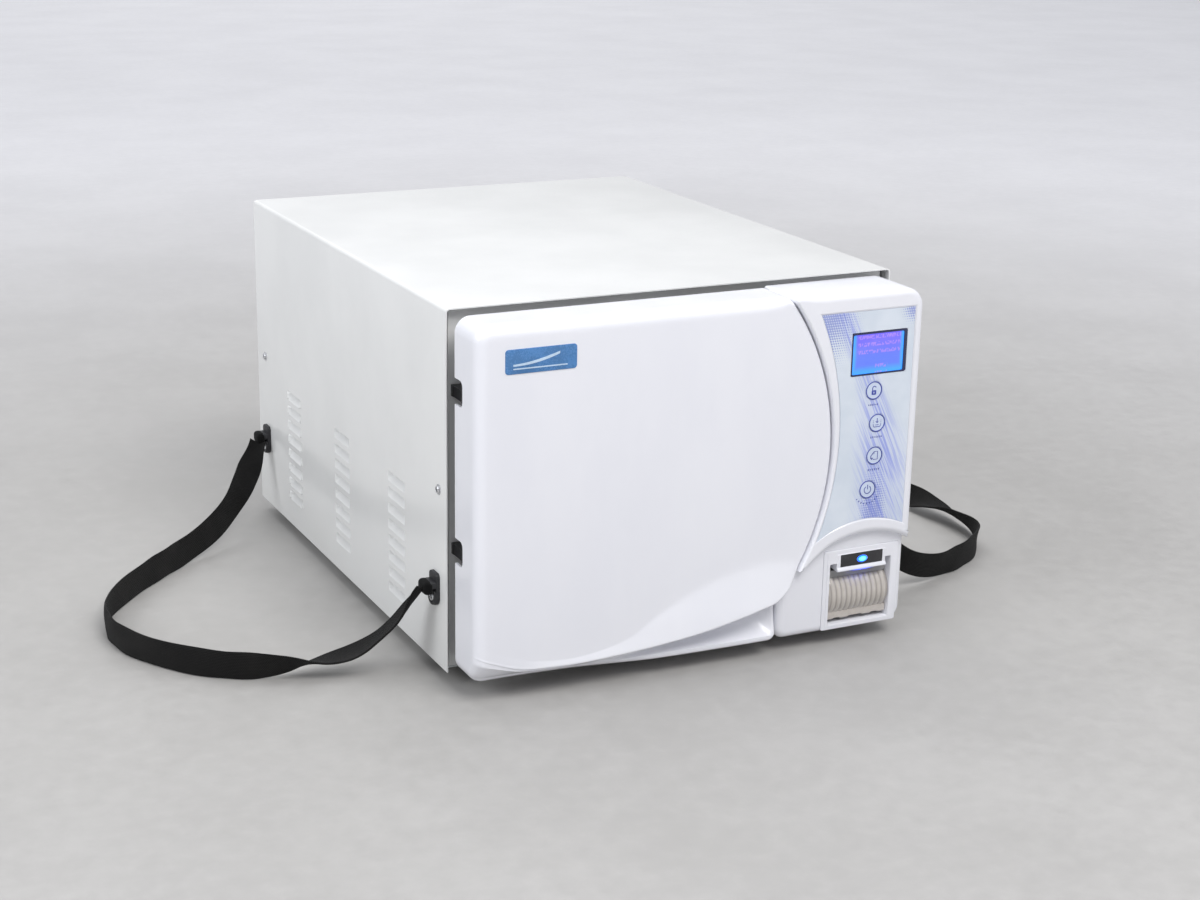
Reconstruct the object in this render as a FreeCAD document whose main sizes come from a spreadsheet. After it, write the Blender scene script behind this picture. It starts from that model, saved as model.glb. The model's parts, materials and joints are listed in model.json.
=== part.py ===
# Benchtop steam autoclave: a sheet steel case around a pressure chamber, with a
# swinging door, a keypad and printer panel on the right and two carrying straps.
# Frame: millimetres, +X right, +Y to the rear, +Z up, origin on the floor under
# the middle of the machine (straps left out).
import FreeCAD, Part
import math
import os
import re

import Sketcher

V = FreeCAD.Vector

SIZES = {
    # case
    "cover_width": 500, "cover_depth": 610, "cover_height": 371, "cover_front": -274,
    "floor_gap": 15, "sheet_gauge": 1.2, "bend_radius": 4,
    "louvre_long": 48, "louvre_high": 11, "louvre_pitch": 17.5, "louvre_low": 31, "louvre_rows": 8,
    "bulkhead_set": 10, "bulkhead_gauge": 2, "rear_set": 10,
    # door and its pressure lid
    "door_left": -246, "door_low": 19, "door_high": 381, "door_rear": -286, "door_face": -340,
    "door_wall": 3, "door_round": 12, "seam_radius": 258.8, "seam_x": -112.8, "seam_z": 221.5,
    "seam_gap": 2.4, "door_foot_x": 90, "grip_rim": 9, "hinge_x": -236, "hinge_y": -294,
    "hinge_pin_radius": 4, "knuckle_radius": 6, "knuckle_high": 11,
    "hinge_high_z": 309, "hinge_low_z": 148, "notch_tall": 26, "notch_deep": 19,
    # chamber
    "chamber_x": -60, "chamber_z": 205, "chamber_radius": 125, "chamber_wall": 3, "chamber_long": 445,
    "flange_radius": 140, "flange_thick": 12.2, "flange_face": -276.2, "lid_radius": 134,
    # control panel
    "panel_right": 247, "panel_low": 16, "panel_high": 381, "panel_face": -344, "panel_step": -335,
    "panel_wall": 3, "overlay_gauge": 0.8, "overlay_right": 236, "overlay_high": 362,
    "overlay_arc_x": -152, "overlay_arc_z": 234, "overlay_arc_radius": 305,
    "screen_x": 195, "screen_z": 317.5, "screen_wide": 66, "screen_tall": 45,
    "button_radius": 10,
    # printer
    "printer_left": 147, "printer_wide": 92, "printer_low": 18, "printer_tall": 88,
    "head_left": 163, "head_right": 223, "head_low": 82, "head_high": 101,
    "label_left": 168, "label_right": 218, "label_low": 86.5, "label_high": 99.5,
    "feed_x": 194, "feed_z": 93, "feed_radius": 5,
    "roll_radius": 20, "roll_core": 6, "roll_wide": 57, "roll_x": 193, "roll_y": -310, "roll_z": 52,
    # straps
    "strap_wide": 30, "strap_thick": 2.5,
    # feet
    "foot_radius": 17, "foot_set_x": 205, "foot_front_y": -235, "foot_rear_y": 295,
}

doc = FreeCAD.newDocument("benchtop_autoclave")
sheet = doc.addObject("Spreadsheet::Sheet", "Sizes")
for row, (alias, value) in enumerate(SIZES.items(), 1):
    sheet.set(f"A{row}", alias)
    sheet.set(f"B{row}", str(value))
    sheet.setAlias(f"B{row}", alias)
doc.recompute()

nodes = {}


# ---------------------------------------------------------------- helpers

def formula(text):
    """An expression over the sheet, written with bare aliases."""
    return re.sub(r"[a-z_]{3,}", lambda m: "Sizes." + m[0] if m[0] in SIZES else m[0], str(text))


def value(text):
    """The number that such an expression has now."""
    return float(sheet.evalExpression(formula(text)))


def bind(obj, **texts):
    """Bind properties of an object to the sheet."""
    for name, text in texts.items():
        obj.setExpression(name.replace("__", "."), formula(text))
    return obj


def put(obj, x, y, z):
    """Bind where an object stands."""
    return bind(obj, Placement__Base__x=x, Placement__Base__y=y, Placement__Base__z=z)


def box(name, low, high):
    """A block between two corners, each a tuple of three expressions."""
    block = doc.addObject("Part::Box", name)
    extents = [f"({b}) - ({a})" for a, b in zip(low, high)]
    bind(block, Length=extents[0], Width=extents[1], Height=extents[2])
    return put(block, *low)


TURNS = {"x": (V(0, 1, 0), 90), "y": (V(1, 0, 0), -90), "z": (V(0, 0, 1), 0)}


def rod(name, base, radius, long, axis="z"):
    """A cylinder from its base centre, along +X, +Y or +Z."""
    cylinder = doc.addObject("Part::Cylinder", name)
    bind(cylinder, Radius=radius, Height=long)
    cylinder.Placement = FreeCAD.Placement(V(), FreeCAD.Rotation(*TURNS[axis]))
    return put(cylinder, *base)


def tube(name, base, outer, inner, long, axis="z"):
    """A cylinder with a hole through it."""
    return cut(name, rod(name + "_outer", base, outer, long, axis),
               rod(name + "_inner", base, inner, long, axis))


def fuse(name, *parts):
    joined = doc.addObject("Part::MultiFuse", name)
    joined.Shapes = list(parts)
    return joined


def cut(name, base, *tools):
    less = doc.addObject("Part::Cut", name)
    less.Base = base
    less.Tool = tools[0] if len(tools) == 1 else fuse(name + "_tools", *tools)
    return less


def group(name, parts):
    """Separate solids that share one node."""
    bundle = doc.addObject("Part::Compound", name)
    bundle.Links = list(parts)
    return bundle


def feature(name, shape):
    """A shape made with Part's own functions."""
    obj = doc.addObject("Part::Feature", name)
    obj.Shape = shape
    return obj


def node(name, obj):
    """Register a finished sub-part under the name of its file."""
    obj.Label = name
    nodes[name] = obj
    return obj


def new_body(name, x=0, y=0, z=0):
    return put(doc.addObject("PartDesign::Body", name + "_body"), x, y, z)


def sketch_on(body, role, offset=None):
    """An empty sketch on one of the body's own origin planes."""
    sketch = body.newObject("Sketcher::SketchObject", body.Name + "_sketch")
    plane = next(item for item in body.Origin.OriginFeatures if item.Role == role)
    sketch.AttachmentSupport = (plane, [""])
    sketch.MapMode = "FlatFace"
    if offset is not None:
        bind(sketch, AttachmentOffset__Base__z=offset)
    return sketch


def add_outline(sketch, corners):
    """A closed polygon whose corners, pairs of expressions, are bound to the sheet."""
    points = [V(value(a), value(b), 0) for a, b in corners]
    first = sketch.GeometryCount
    count = len(points)
    for i in range(count):
        sketch.addGeometry(Part.LineSegment(points[i], points[(i + 1) % count]), False)
    for i in range(count):
        after = first + (i + 1) % count
        sketch.addConstraint(Sketcher.Constraint("Coincident", first + i, 2, after, 1))
    for i, (a, b) in enumerate(corners):
        for kind, text, number in (("DistanceX", a, points[i].x), ("DistanceY", b, points[i].y)):
            index = sketch.addConstraint(Sketcher.Constraint(kind, -1, 1, first + i, 1, number))
            sketch.setExpression(f"Constraints[{index}]", formula(text))


def add_rectangle(sketch, x, y, wide, tall):
    add_outline(sketch, [(x, y), (f"{x} + {wide}", y), (f"{x} + {wide}", f"{y} + {tall}"),
                         (x, f"{y} + {tall}")])


def add_circle(sketch, x, y, radius):
    circle = sketch.addGeometry(Part.Circle(V(value(x), value(y), 0), V(0, 0, 1), value(radius)), False)
    for kind, text in (("DistanceX", x), ("DistanceY", y)):
        index = sketch.addConstraint(Sketcher.Constraint(kind, -1, 1, circle, 3, value(text)))
        sketch.setExpression(f"Constraints[{index}]", formula(text))
    index = sketch.addConstraint(Sketcher.Constraint("Radius", circle, value(radius)))
    sketch.setExpression(f"Constraints[{index}]", formula(radius))


def pad(body, sketch, long, backwards=False):
    solid = body.newObject("PartDesign::Pad", body.Name + "_pad")
    solid.Profile = sketch
    solid.Reversed = backwards
    return bind(solid, Length=long)


def pocket(body, sketch, deep=None, backwards=False):
    """A pocket of a depth, or right through both ways where no depth is given."""
    doc.recompute()
    before = body.Shape.Volume
    hole = body.newObject("PartDesign::Pocket", body.Name + "_pocket")
    hole.Profile = sketch
    hole.Reversed = backwards
    if deep is None:
        hole.Type = 1
        hole.Midplane = True
    else:
        bind(hole, Length=deep)
    doc.recompute()
    assert body.Shape.Volume < before - 0.01, f"the pocket in {body.Name} cuts nothing"
    return hole


def spin(body, sketch, axis):
    """A full turn about the sketch's own H or V axis."""
    turned = body.newObject("PartDesign::Revolution", body.Name + "_turn")
    turned.Profile = sketch
    turned.ReferenceAxis = (sketch, [axis])
    turned.Angle = 360
    return turned


def turned_about_y(name, x, z, corners):
    """A round piece on a front-to-rear axis: corners are (y, radius) pairs."""
    body = new_body(name, x, 0, z)
    sketch = sketch_on(body, "YZ_Plane")
    add_outline(sketch, corners)
    spin(body, sketch, "H_Axis")
    return node(name, body)


def round_edges(body, base, radius, wanted):
    """Fillet the edges of a feature for which wanted(edge) is true."""
    doc.recompute()
    names = [f"Edge{i}" for i, edge in enumerate(base.Shape.Edges, 1) if wanted(edge)]
    soft = body.newObject("PartDesign::Fillet", body.Name + "_fillet")
    soft.Base = (base, names)
    return bind(soft, Radius=radius)


def in_plane_y(level):
    """Test for edges that lie in a plane across the machine."""
    return lambda edge: abs(edge.BoundBox.YMin - level) < 0.01 and abs(edge.BoundBox.YMax - level) < 0.01


# ---------------------------------------------------------------- case

SCREW_Y, SCREW_Z = (-254, 306), 201
PORT_X, PORT_Z = 70, (60, 345)
FILTER_X, FILTER_Z = -206, 66
FAN_X, FAN_Y, FAN_Z = -140, 301, 280
INLET_X, INLET_Z = 170, 75
ROCKER_Z, ROCKER_PIVOT_Y, ROCKER_TILT = 130, 319, 8


def outer_cover():
    """Folded U of painted sheet with three columns of pressed-in louvres on each side."""
    body = new_body("outer_cover", 0, "cover_front + cover_depth", 0)
    half = "cover_width/2"
    top = "(floor_gap + cover_height)"
    sketch = sketch_on(body, "XZ_Plane")
    add_outline(sketch, [("-cover_width/2", "floor_gap"), ("-cover_width/2", top), (half, top),
                         (half, "floor_gap"), ("cover_width/2 - sheet_gauge", "floor_gap"),
                         ("cover_width/2 - sheet_gauge", top + " - sheet_gauge"),
                         ("-cover_width/2 + sheet_gauge", top + " - sheet_gauge"),
                         ("-cover_width/2 + sheet_gauge", "floor_gap")])
    shell = pad(body, sketch, "cover_depth")
    high, wide = value(top), value(half)
    bends = round_edges(body, shell, "bend_radius",
                        lambda e: e.BoundBox.ZMin > high - 0.01 and e.BoundBox.YLength > 10
                        and abs(abs(e.BoundBox.XMin) - wide) < 0.01)
    screw_holes = sketch_on(body, "YZ_Plane")
    for y in SCREW_Y:
        add_circle(screw_holes, f"{y} - cover_front - cover_depth", SCREW_Z, 2)
    pocket(body, screw_holes)
    # distances from the front edge of the cover to the front end of each louvre column
    starts = [114, 282, 448]
    slots = sketch_on(body, "YZ_Plane")
    for start in starts:
        add_rectangle(slots, f"{start} - cover_depth", "floor_gap + louvre_low", "louvre_long", "louvre_high")
    hole = pocket(body, slots)
    flaps = []
    for start in starts:
        blade = sketch_on(body, "XZ_Plane", f"cover_depth - {start} - louvre_long")
        for side in ("-", ""):
            inward = "+" if side == "-" else "-"
            x = f"{side}cover_width/2"
            z = "floor_gap + louvre_low"
            add_outline(blade, [(x, f"{z} - 0.6"), (f"{x} {inward} sheet_gauge", f"{z} - 0.6"),
                                (f"{x} {inward} 4.4", f"{z} + louvre_high - 1"),
                                (f"{x} {inward} 3.2", f"{z} + louvre_high - 1")])
        flaps.append(pad(body, blade, "louvre_long"))
    rows = body.newObject("PartDesign::LinearPattern", "louvre_rows_pattern")
    rows.Originals = [hole] + flaps
    rows.Direction = (slots, ["V_Axis"])
    bind(rows, Length="louvre_pitch*(louvre_rows - 1)", Occurrences="louvre_rows")
    body.Tip = rows
    return node("outer_cover", body)


def base_pan():
    """Tray of sheet steel that everything stands on, with upturned sides."""
    body = new_body("base_pan")
    sketch = sketch_on(body, "XZ_Plane", "-cover_front - cover_depth + 8")
    inner = "cover_width/2 - 2"
    add_outline(sketch, [(f"-({inner})", "floor_gap + 1"), (inner, "floor_gap + 1"),
                         (inner, "floor_gap + 26"), (f"{inner} - 1.5", "floor_gap + 26"),
                         (f"{inner} - 1.5", "floor_gap + 2.5"), (f"-({inner}) + 1.5", "floor_gap + 2.5"),
                         (f"-({inner}) + 1.5", "floor_gap + 26"), (f"-({inner})", "floor_gap + 26")])
    pad(body, sketch, "cover_depth - 17")
    return node("base_pan", body)


def front_bulkhead():
    """Front plate of the frame, with the chamber mouth and the catch slot."""
    body = new_body("front_bulkhead")
    sketch = sketch_on(body, "XZ_Plane", "-cover_front - bulkhead_set - bulkhead_gauge")
    add_rectangle(sketch, "-cover_width/2 + 6", "floor_gap + 2.5", "cover_width - 12", "cover_height - 6.5")
    add_circle(sketch, "chamber_x", "chamber_z", "chamber_radius + chamber_wall + 0.5")
    add_rectangle(sketch, "84", "chamber_z - 14", "20", "28")
    for z in PORT_Z:
        add_circle(sketch, PORT_X, z, 7)
    add_circle(sketch, FILTER_X, FILTER_Z, 5)
    pad(body, sketch, "bulkhead_gauge")
    return node("front_bulkhead", body)


def rear_panel():
    """Rear plate with the fan window, the power inlet and the switch cut-outs."""
    body = new_body("rear_panel")
    sketch = sketch_on(body, "XZ_Plane", "-cover_front - cover_depth + rear_set - 1.5")
    add_rectangle(sketch, "-cover_width/2 + 4", "floor_gap + 2.5", "cover_width - 8", "cover_height - 6.5")
    pad(body, sketch, "1.5")
    holes = sketch_on(body, "XZ_Plane")
    add_rectangle(holes, INLET_X - 14, INLET_Z - 10, 28, 20)
    add_rectangle(holes, INLET_X - 11, ROCKER_Z - 15, 22, 30)
    add_circle(holes, 60, 62, 7.5)
    add_circle(holes, -70, 340, 9)
    for row in range(9):
        z = FAN_Z - 48 + 12 * row
        reach = math.sqrt(54 ** 2 - (z - FAN_Z) ** 2)
        add_rectangle(holes, FAN_X - reach, z - 3, 2 * reach, 6)
    pocket(body, holes)
    return node("rear_panel", body)


def feet():
    """Four round rubber feet under the base pan."""
    stands = []
    for y in ("foot_front_y", "foot_rear_y"):
        for sign in ("-", ""):
            body = new_body("foot", f"{sign}foot_set_x", y, 0)
            sketch = sketch_on(body, "XZ_Plane")
            add_outline(sketch, [("0", "0"), ("foot_radius - 4", "0"), ("foot_radius - 2", "2"),
                                 ("foot_radius", "floor_gap + 1"), ("0", "floor_gap + 1")])
            spin(body, sketch, "V_Axis")
            stands.append(body)
    return node("feet", group("feet_group", stands))


def cover_screws():
    """Pan-head screws that hold the cover to the frame, two on each side."""
    screws = []
    for side in (-1, 1):
        for y in SCREW_Y:
            wall = f"{side}*cover_width/2"
            head = rod("screw_head", (wall if side > 0 else f"{wall} - 1.8", y, SCREW_Z), 3.6, 1.8, "x")
            shank = rod("screw_shank", (f"{wall} - 7" if side > 0 else wall, y, SCREW_Z), 1.9, 7, "x")
            screws.append(fuse("cover_screw", head, shank))
    return node("cover_screws", group("cover_screws_group", screws))


# ---------------------------------------------------------------- chamber

def chamber():
    """Welded stainless vessel with a flange at its mouth and a dished rear head."""
    front, far = "flange_face", "(flange_face + chamber_long)"
    outer = "chamber_radius + chamber_wall"
    return turned_about_y("chamber", "chamber_x", "chamber_z", [
        (front, "chamber_radius"), (front, "flange_radius"), (f"{front} + flange_thick", "flange_radius"),
        (f"{front} + flange_thick", outer), (far, outer), (f"{far} + 12", "chamber_radius*0.75"),
        (f"{far} + 17", "0"), (f"{far} + 14", "0"), (f"{far} + 9", "chamber_radius*0.72"),
        (f"{far} - 2", "chamber_radius")])


def chamber_jacket():
    """Heater band around the middle of the vessel and glass-fibre lagging over it."""
    band = tube("heater", ("chamber_x", -120, "chamber_z"), "chamber_radius + chamber_wall + 2.5",
                "chamber_radius + chamber_wall + 0.1", 150, "y")
    node("heater_band", band)
    whole = rod("lagging_whole", ("chamber_x", "cover_front + 16", "chamber_z"),
                "chamber_radius + 22", "chamber_long - 20", "y")
    hollow = rod("lagging_hollow", ("chamber_x", "cover_front + 16", "chamber_z"),
                 "chamber_radius + chamber_wall + 3", "chamber_long - 20", "y")
    node("chamber_lagging", cut("lagging", whole, hollow))


TRAY_Z = {"lower": 148, "middle": 188, "upper": 228}
TRAY_HALF = 84


def tray_rack():
    """Bent steel rack that carries the trays on three pairs of rails."""
    parts = []
    for y in (-235, -40, 130):
        for side in (-1, 1):
            x = value("chamber_x") + side * (TRAY_HALF + 4)
            parts.append(box("rack_post", (x - 1.5, y, 127.5), (x + 1.5, y + 12, 258)))
        parts.append(box("rack_foot", ("chamber_x - 95.4", y, 124.5), ("chamber_x + 95.4", y + 12, 127.5)))
        parts.append(box("rack_bridge", (f"chamber_x - {TRAY_HALF + 5.5}", y, 258),
                         (f"chamber_x + {TRAY_HALF + 5.5}", y + 12, 261)))
    for z in TRAY_Z.values():
        for side in (-1, 1):
            x = value("chamber_x") + side * (TRAY_HALF - 0.5)
            parts.append(box("rack_rail", (x - 3, -235, z - 2), (x + 3, 142, z)))
    return node("tray_rack", group("tray_rack_group", parts))


def trays():
    """Three perforated instrument trays with folded rims."""
    for name, z in TRAY_Z.items():
        body = new_body("tray", 0, 0, z)
        sketch = sketch_on(body, "XY_Plane")
        add_rectangle(sketch, f"chamber_x - {TRAY_HALF}", -240, 2 * TRAY_HALF, 378)
        pad(body, sketch, 18, backwards=False)
        hollow = sketch_on(body, "XY_Plane", 1)
        add_rectangle(hollow, f"chamber_x - {TRAY_HALF} + 1", -239, 2 * TRAY_HALF - 2, 376)
        pocket(body, hollow, 20, backwards=True)
        slots = sketch_on(body, "XY_Plane", -1)
        add_rectangle(slots, f"chamber_x - {TRAY_HALF} + 14", -222, 40, 6)
        hole = pocket(body, slots, 4, backwards=True)
        rows = body.newObject("PartDesign::LinearPattern", "tray_slot_rows")
        columns = body.newObject("PartDesign::LinearPattern", "tray_slot_columns")
        grid = body.newObject("PartDesign::MultiTransform", "tray_slots")
        grid.Originals = [hole]
        rows.Direction = (slots, ["V_Axis"])
        rows.Length = 330
        rows.Occurrences = 12
        columns.Direction = (slots, ["H_Axis"])
        columns.Length = 100
        columns.Occurrences = 3
        grid.Transformations = [rows, columns]
        body.Tip = grid
        node(f"tray_{name}", body)


# ---------------------------------------------------------------- plumbing and electrics

def water_tanks():
    """Clean water above, used water below, on the right of the chamber."""
    for name, low, high in (("clean_water_tank", 176, 366), ("used_water_tank", 17.5, 176)):
        shell = box(name + "_shell", (100, -190, low), (238, 70, high))
        space = box(name + "_space", (103, -187, low + 3), (235, 67, high - 3))
        neck = rod(name + "_neck", (126, -198, low + 14), 6, 12, "y")
        node(name, cut(name + "_cut", fuse(name + "_whole", shell, neck), space))


def tank_ports():
    """Two quick couplings on the bulkhead behind the door, one for each tank."""
    ports = []
    for z in PORT_Z:
        stem = rod("port_stem", (PORT_X, "cover_front - 2", z), 7, 26, "y")
        collar = rod("port_collar", (PORT_X, "cover_front + 4", z), 11, 6, "y")
        hole = rod("port_hole", (PORT_X, "cover_front - 2", z), 3.5, 20, "y")
        ports.append(cut("tank_port", fuse("port_body", stem, collar), hole))
    return node("tank_ports", group("tank_ports_group", ports))


def air_filter():
    """Bacteria-retaining air filter that plugs into the bulkhead, low on the left."""
    can = rod("filter_can", (FILTER_X, "cover_front - 4", FILTER_Z), 20, 14, "y")
    spout = rod("filter_spout", (FILTER_X, "cover_front + 10", FILTER_Z), 5, 16, "y")
    hub = rod("filter_hub", (FILTER_X, "cover_front - 7", FILTER_Z), 8, 3, "y")
    return node("air_filter", fuse("air_filter_solid", can, spout, hub))


def steam_generator():
    """Upright boiler behind the chamber with its heater terminals on top."""
    can = rod("boiler_can", (40, 260, 17.5), 45, 152.5)
    head = rod("boiler_head", (40, 260, 170), 49, 8)
    pins = [rod("boiler_pin", (40 + 18 * side, 260, 178), 5, 14) for side in (-1, 1)]
    return node("steam_generator", fuse("steam_generator_solid", can, head, *pins))


def vacuum_pump():
    """Diaphragm pump on the left: a motor, two heads and a foot plate."""
    plate = box("pump_plate", (-225, 205, 17.5), (-65, 310, 22))
    motor = rod("pump_motor", (-195, 258, 68), 38, 90, "x")
    web = box("pump_web", (-180, 245, 22), (-120, 271, 50))
    heads = [box("pump_head", (x, 222, 40), (x + 26, 294, 112)) for x in (-221, -105)]
    return node("vacuum_pump", fuse("vacuum_pump_solid", plate, web, motor, *heads))


def condenser():
    """Finned coil block that the fan blows through."""
    parts = [box("condenser_header", (FAN_X + side * 62 - 4, FAN_Y - 28, 222),
                 (FAN_X + side * 62 + 4, FAN_Y, 338))
             for side in (-1, 1)]
    for row in range(8):
        z = 228 + 14 * row
        parts.append(box("condenser_fin", (FAN_X - 62, FAN_Y - 26, z), (FAN_X + 62, FAN_Y - 2, z + 3)))
    return node("condenser", fuse("condenser_solid", *parts))


def cooling_fan():
    """Axial fan: a square housing with a stator spider, and the rotor inside it."""
    frame = box("fan_block", (FAN_X - 60, FAN_Y, FAN_Z - 60), (FAN_X + 60, FAN_Y + 25, FAN_Z + 60))
    ring = cut("fan_ring", frame, rod("fan_throat", (FAN_X, FAN_Y, FAN_Z), 56, 25, "y"))
    arms = [box("fan_arm", (FAN_X - 57, FAN_Y, FAN_Z - 2), (FAN_X + 57, FAN_Y + 2.5, FAN_Z + 2)),
            box("fan_arm", (FAN_X - 2, FAN_Y, FAN_Z - 57), (FAN_X + 2, FAN_Y + 2.5, FAN_Z + 57))]
    hub = rod("fan_seat", (FAN_X, FAN_Y, FAN_Z), 17, 3, "y")
    shaft = rod("fan_shaft", (FAN_X, FAN_Y, FAN_Z), 3, 20, "y")
    node("fan_housing", fuse("fan_housing_solid", ring, hub, shaft, *arms))
    rotor = Part.makeCylinder(19, 18, V(FAN_X, FAN_Y + 3.4, FAN_Z), V(0, 1, 0))
    middle = V(FAN_X, FAN_Y + 12, FAN_Z)
    blade = Part.makeBox(5, 14, 36, V(FAN_X - 2.5, FAN_Y + 5, FAN_Z + 16))
    blade.rotate(middle, V(0, 0, 1), 42)
    for turn in range(7):
        copy = blade.copy()
        copy.rotate(middle, V(0, 1, 0), turn * 360 / 7)
        rotor = rotor.fuse(copy)
    bore = Part.makeCylinder(3.05, 17.2, V(FAN_X, FAN_Y + 3, FAN_Z), V(0, 1, 0))
    node("fan_rotor", feature("fan_rotor_solid", rotor.cut(bore)))


def valves_and_pipes():
    """Solenoid valves on a rail, copper steam lines and the safety valve."""
    manifold = [box("valve_manifold", (-40, 205, 212), (100, 242, 242))]
    manifold += [box("valve_leg", (x, 205, 17.5), (x + 4, 213, 212)) for x in (-40, 96)]
    for step in range(4):
        manifold.append(rod("valve_coil", (-19 + 34 * step, 226, 242), 12, 34))
    node("solenoid_valves", fuse("solenoid_valves_solid", *manifold))
    stem = rod("safety_stem", (-70, 316, 340), 8, 12, "y")
    nut = rod("safety_nut", (-70, 328, 340), 11, 8, "y")
    cap = rod("safety_cap", (-70, 336, 340), 8, 12, "y")
    pipe = rod("safety_pipe", (-70, 190, 340), 4, 130, "y")
    drop = rod("safety_drop", (-70, 192, 326), 4, 16)
    node("safety_valve", fuse("safety_valve_solid", stem, nut, cap, pipe, drop))
    spigot = tube("spigot", (60, 309, 62), 6, 3.5, 41, "y")
    collar = tube("spigot_collar", (60, 327.6, 62), 10, 6, 5, "y")
    node("drain_spigot", fuse("drain_spigot_solid", spigot, collar))


def electrics():
    """Control board on stand-offs, power supply, power inlet and the mains switch."""
    board = box("board_plate", (228, 90, 190), (230, 300, 350))
    chips = [box("board_chip", (218, 110 + 45 * i, 210 + 20 * (i % 2)),
                 (228, 135 + 45 * i, 245 + 20 * (i % 2)))
             for i in range(4)]
    posts = [rod("board_post", (230, y, z), 3, 10, "x") for y in (100, 290) for z in (200, 340)]
    bracket = box("board_bracket", (240, 90, 17.5), (242, 300, 350))
    node("control_board", fuse("control_board_solid", board, bracket, *chips, *posts))
    node("power_supply", fuse("power_supply_solid", box("supply_case", (110, 170, 17.5), (225, 290, 60)),
                              box("supply_terminals", (115, 158, 22), (220, 170, 40))))
    x, z = INLET_X, INLET_Z
    shell = box("inlet_shell", (x - 13.7, 302, z - 9.7), (x + 13.7, 330, z + 9.7))
    flange = box("inlet_flange", (x - 25, 327.6, z - 12), (x + 25, 331, z + 12))
    recess = box("inlet_recess", (x - 11.5, 314, z - 7.7), (x + 11.5, 331, z + 7.7))
    pins = [box("inlet_pin", (x + dx - 1, 310, z + dz - 2.5), (x + dx + 1, 327, z + dz + 2.5))
            for dx, dz in ((-7, 1.5), (7, 1.5), (0, 5))]
    cup = cut("inlet_cup", fuse("inlet_whole", shell, flange), recess)
    node("power_inlet", fuse("power_inlet_solid", cup, *pins))
    case = box("switch_case", (x - 10.7, 305, ROCKER_Z - 14.7), (x + 10.7, 327.6, ROCKER_Z + 14.7))
    rim = box("switch_rim", (x - 13, 327.6, ROCKER_Z - 17), (x + 13, 329.6, ROCKER_Z + 17))
    well = box("switch_well", (x - 8.5, 308, ROCKER_Z - 13.2), (x + 8.5, 330, ROCKER_Z + 13.2))
    node("switch_housing", cut("switch_cup", fuse("switch_whole", case, rim), well))
    # seen from the side the rocker is a blunt roof over its pivot, tipped to one stop
    half = [V(0, 325.5, 11.5), V(0, 321, 11.5), V(0, 314, 5)]
    mirrored = [V(0, p.y, -p.z) for p in reversed(half)]
    corners = [V(0, 327.6, 0)] + half + mirrored
    rocker = Part.Face(Part.makePolygon(corners + corners[:1])).extrude(V(16, 0, 0))
    rocker.rotate(V(0, ROCKER_PIVOT_Y, 0), V(1, 0, 0), ROCKER_TILT)
    rocker.translate(V(x - 8, 0, ROCKER_Z))
    node("mains_rocker", feature("mains_rocker_solid", rocker))


# ---------------------------------------------------------------- door

def side_arc(x, z, radius, start, end):
    """Arc on a centre from the height start to the height end, on its right side."""
    heights = (start, (start + end) / 2, end)
    return Part.Arc(*[V(x + math.sqrt(radius ** 2 - (high - z) ** 2), high, 0) for high in heights])


def seam_arc(radius, start, end):
    """Stretch of the curved seam between the door and the panel."""
    return side_arc(value("seam_x"), value("seam_z"), radius, start, end)


def corner_arc(x, z, radius, from_degrees):
    """Quarter circle for the corner of an outline, anticlockwise."""
    angles = [math.radians(from_degrees + step) for step in (0, 45, 90)]
    return Part.Arc(*[V(x + radius * math.cos(a), z + radius * math.sin(a), 0) for a in angles])


def chain(parts):
    """Join arcs with straight lines into one closed outline."""
    edges = []
    for i, arc in enumerate(parts):
        edges.append(arc)
        start = arc.EndPoint
        end = parts[(i + 1) % len(parts)].StartPoint
        if start.distanceToPoint(end) > 0.01:
            edges.append(Part.LineSegment(start, end))
    return edges


def door_outline(inset):
    """Front view of the door, drawn in by inset on every side."""
    left, low = value("door_left") + inset, value("door_low") + inset
    high, foot = value("door_high") - inset, value("door_foot_x") - inset
    radius = value("seam_radius") - inset
    turn = 16 - inset
    return chain([corner_arc(left + turn, low + turn, turn, 180), corner_arc(foot - 9, low + 9, 9, 270),
                  seam_arc(radius, 62, high), corner_arc(left + turn, high - turn, turn, 90)])


def prism(edges, near, far):
    """Solid of a front-view outline between two planes across the machine."""
    wire = Part.Wire([edge.toShape() for edge in edges])
    wire.rotate(V(0, 0, 0), V(1, 0, 0), 90)
    wire.translate(V(0, near, 0))
    return Part.Face(wire).extrude(V(0, far - near, 0))


def round_uprights(solid, corners, radius):
    """Round the front-to-rear edges of a prism that stand at the given (x, z) corners."""
    chosen = [edge for edge in solid.Edges
              if edge.BoundBox.XLength < 0.01 and edge.BoundBox.ZLength < 0.01
              and any(math.hypot(edge.BoundBox.XMin - x, edge.BoundBox.ZMin - z) < 0.05 for x, z in corners)]
    assert len(chosen) == len(corners), "an upright edge is missing"
    return solid.makeFillet(radius, chosen)


def round_front(solid, front, radius):
    """Round every edge of the front face of a prism."""
    return solid.makeFillet(radius, [edge for edge in solid.Edges if in_plane_y(front)(edge)])


# Stations along the handle lip, from its left end to the seam: across, height of the
# top of the flare, height of the ridge under it, how far the ridge stands out of the
# door face, and how deep the finger space behind it goes in.
LIP = [(-112, 41, 37, 0.8, 2), (-78, 55, 41, 3, 8), (-42, 82, 44, 6.5, 15), (0, 103, 48, 9, 20),
       (44, 110, 55, 10, 22), (84, 107, 64, 10, 22), (106, 101, 80, 7, 22)]


def lip_loft():
    """Flare of the door above the grip: its section grows and shrinks along the door."""
    face = value("door_face")
    sections = []
    for x, top, ridge, out, deep in LIP:
        corners = [V(x, face + 1, top), V(x, face - out, ridge + 1), V(x, face - out, ridge),
                   V(x, face + 1, ridge)]
        sections.append(Part.makePolygon(corners + corners[:1]))
    return Part.makeLoft(sections, True, True)


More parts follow.
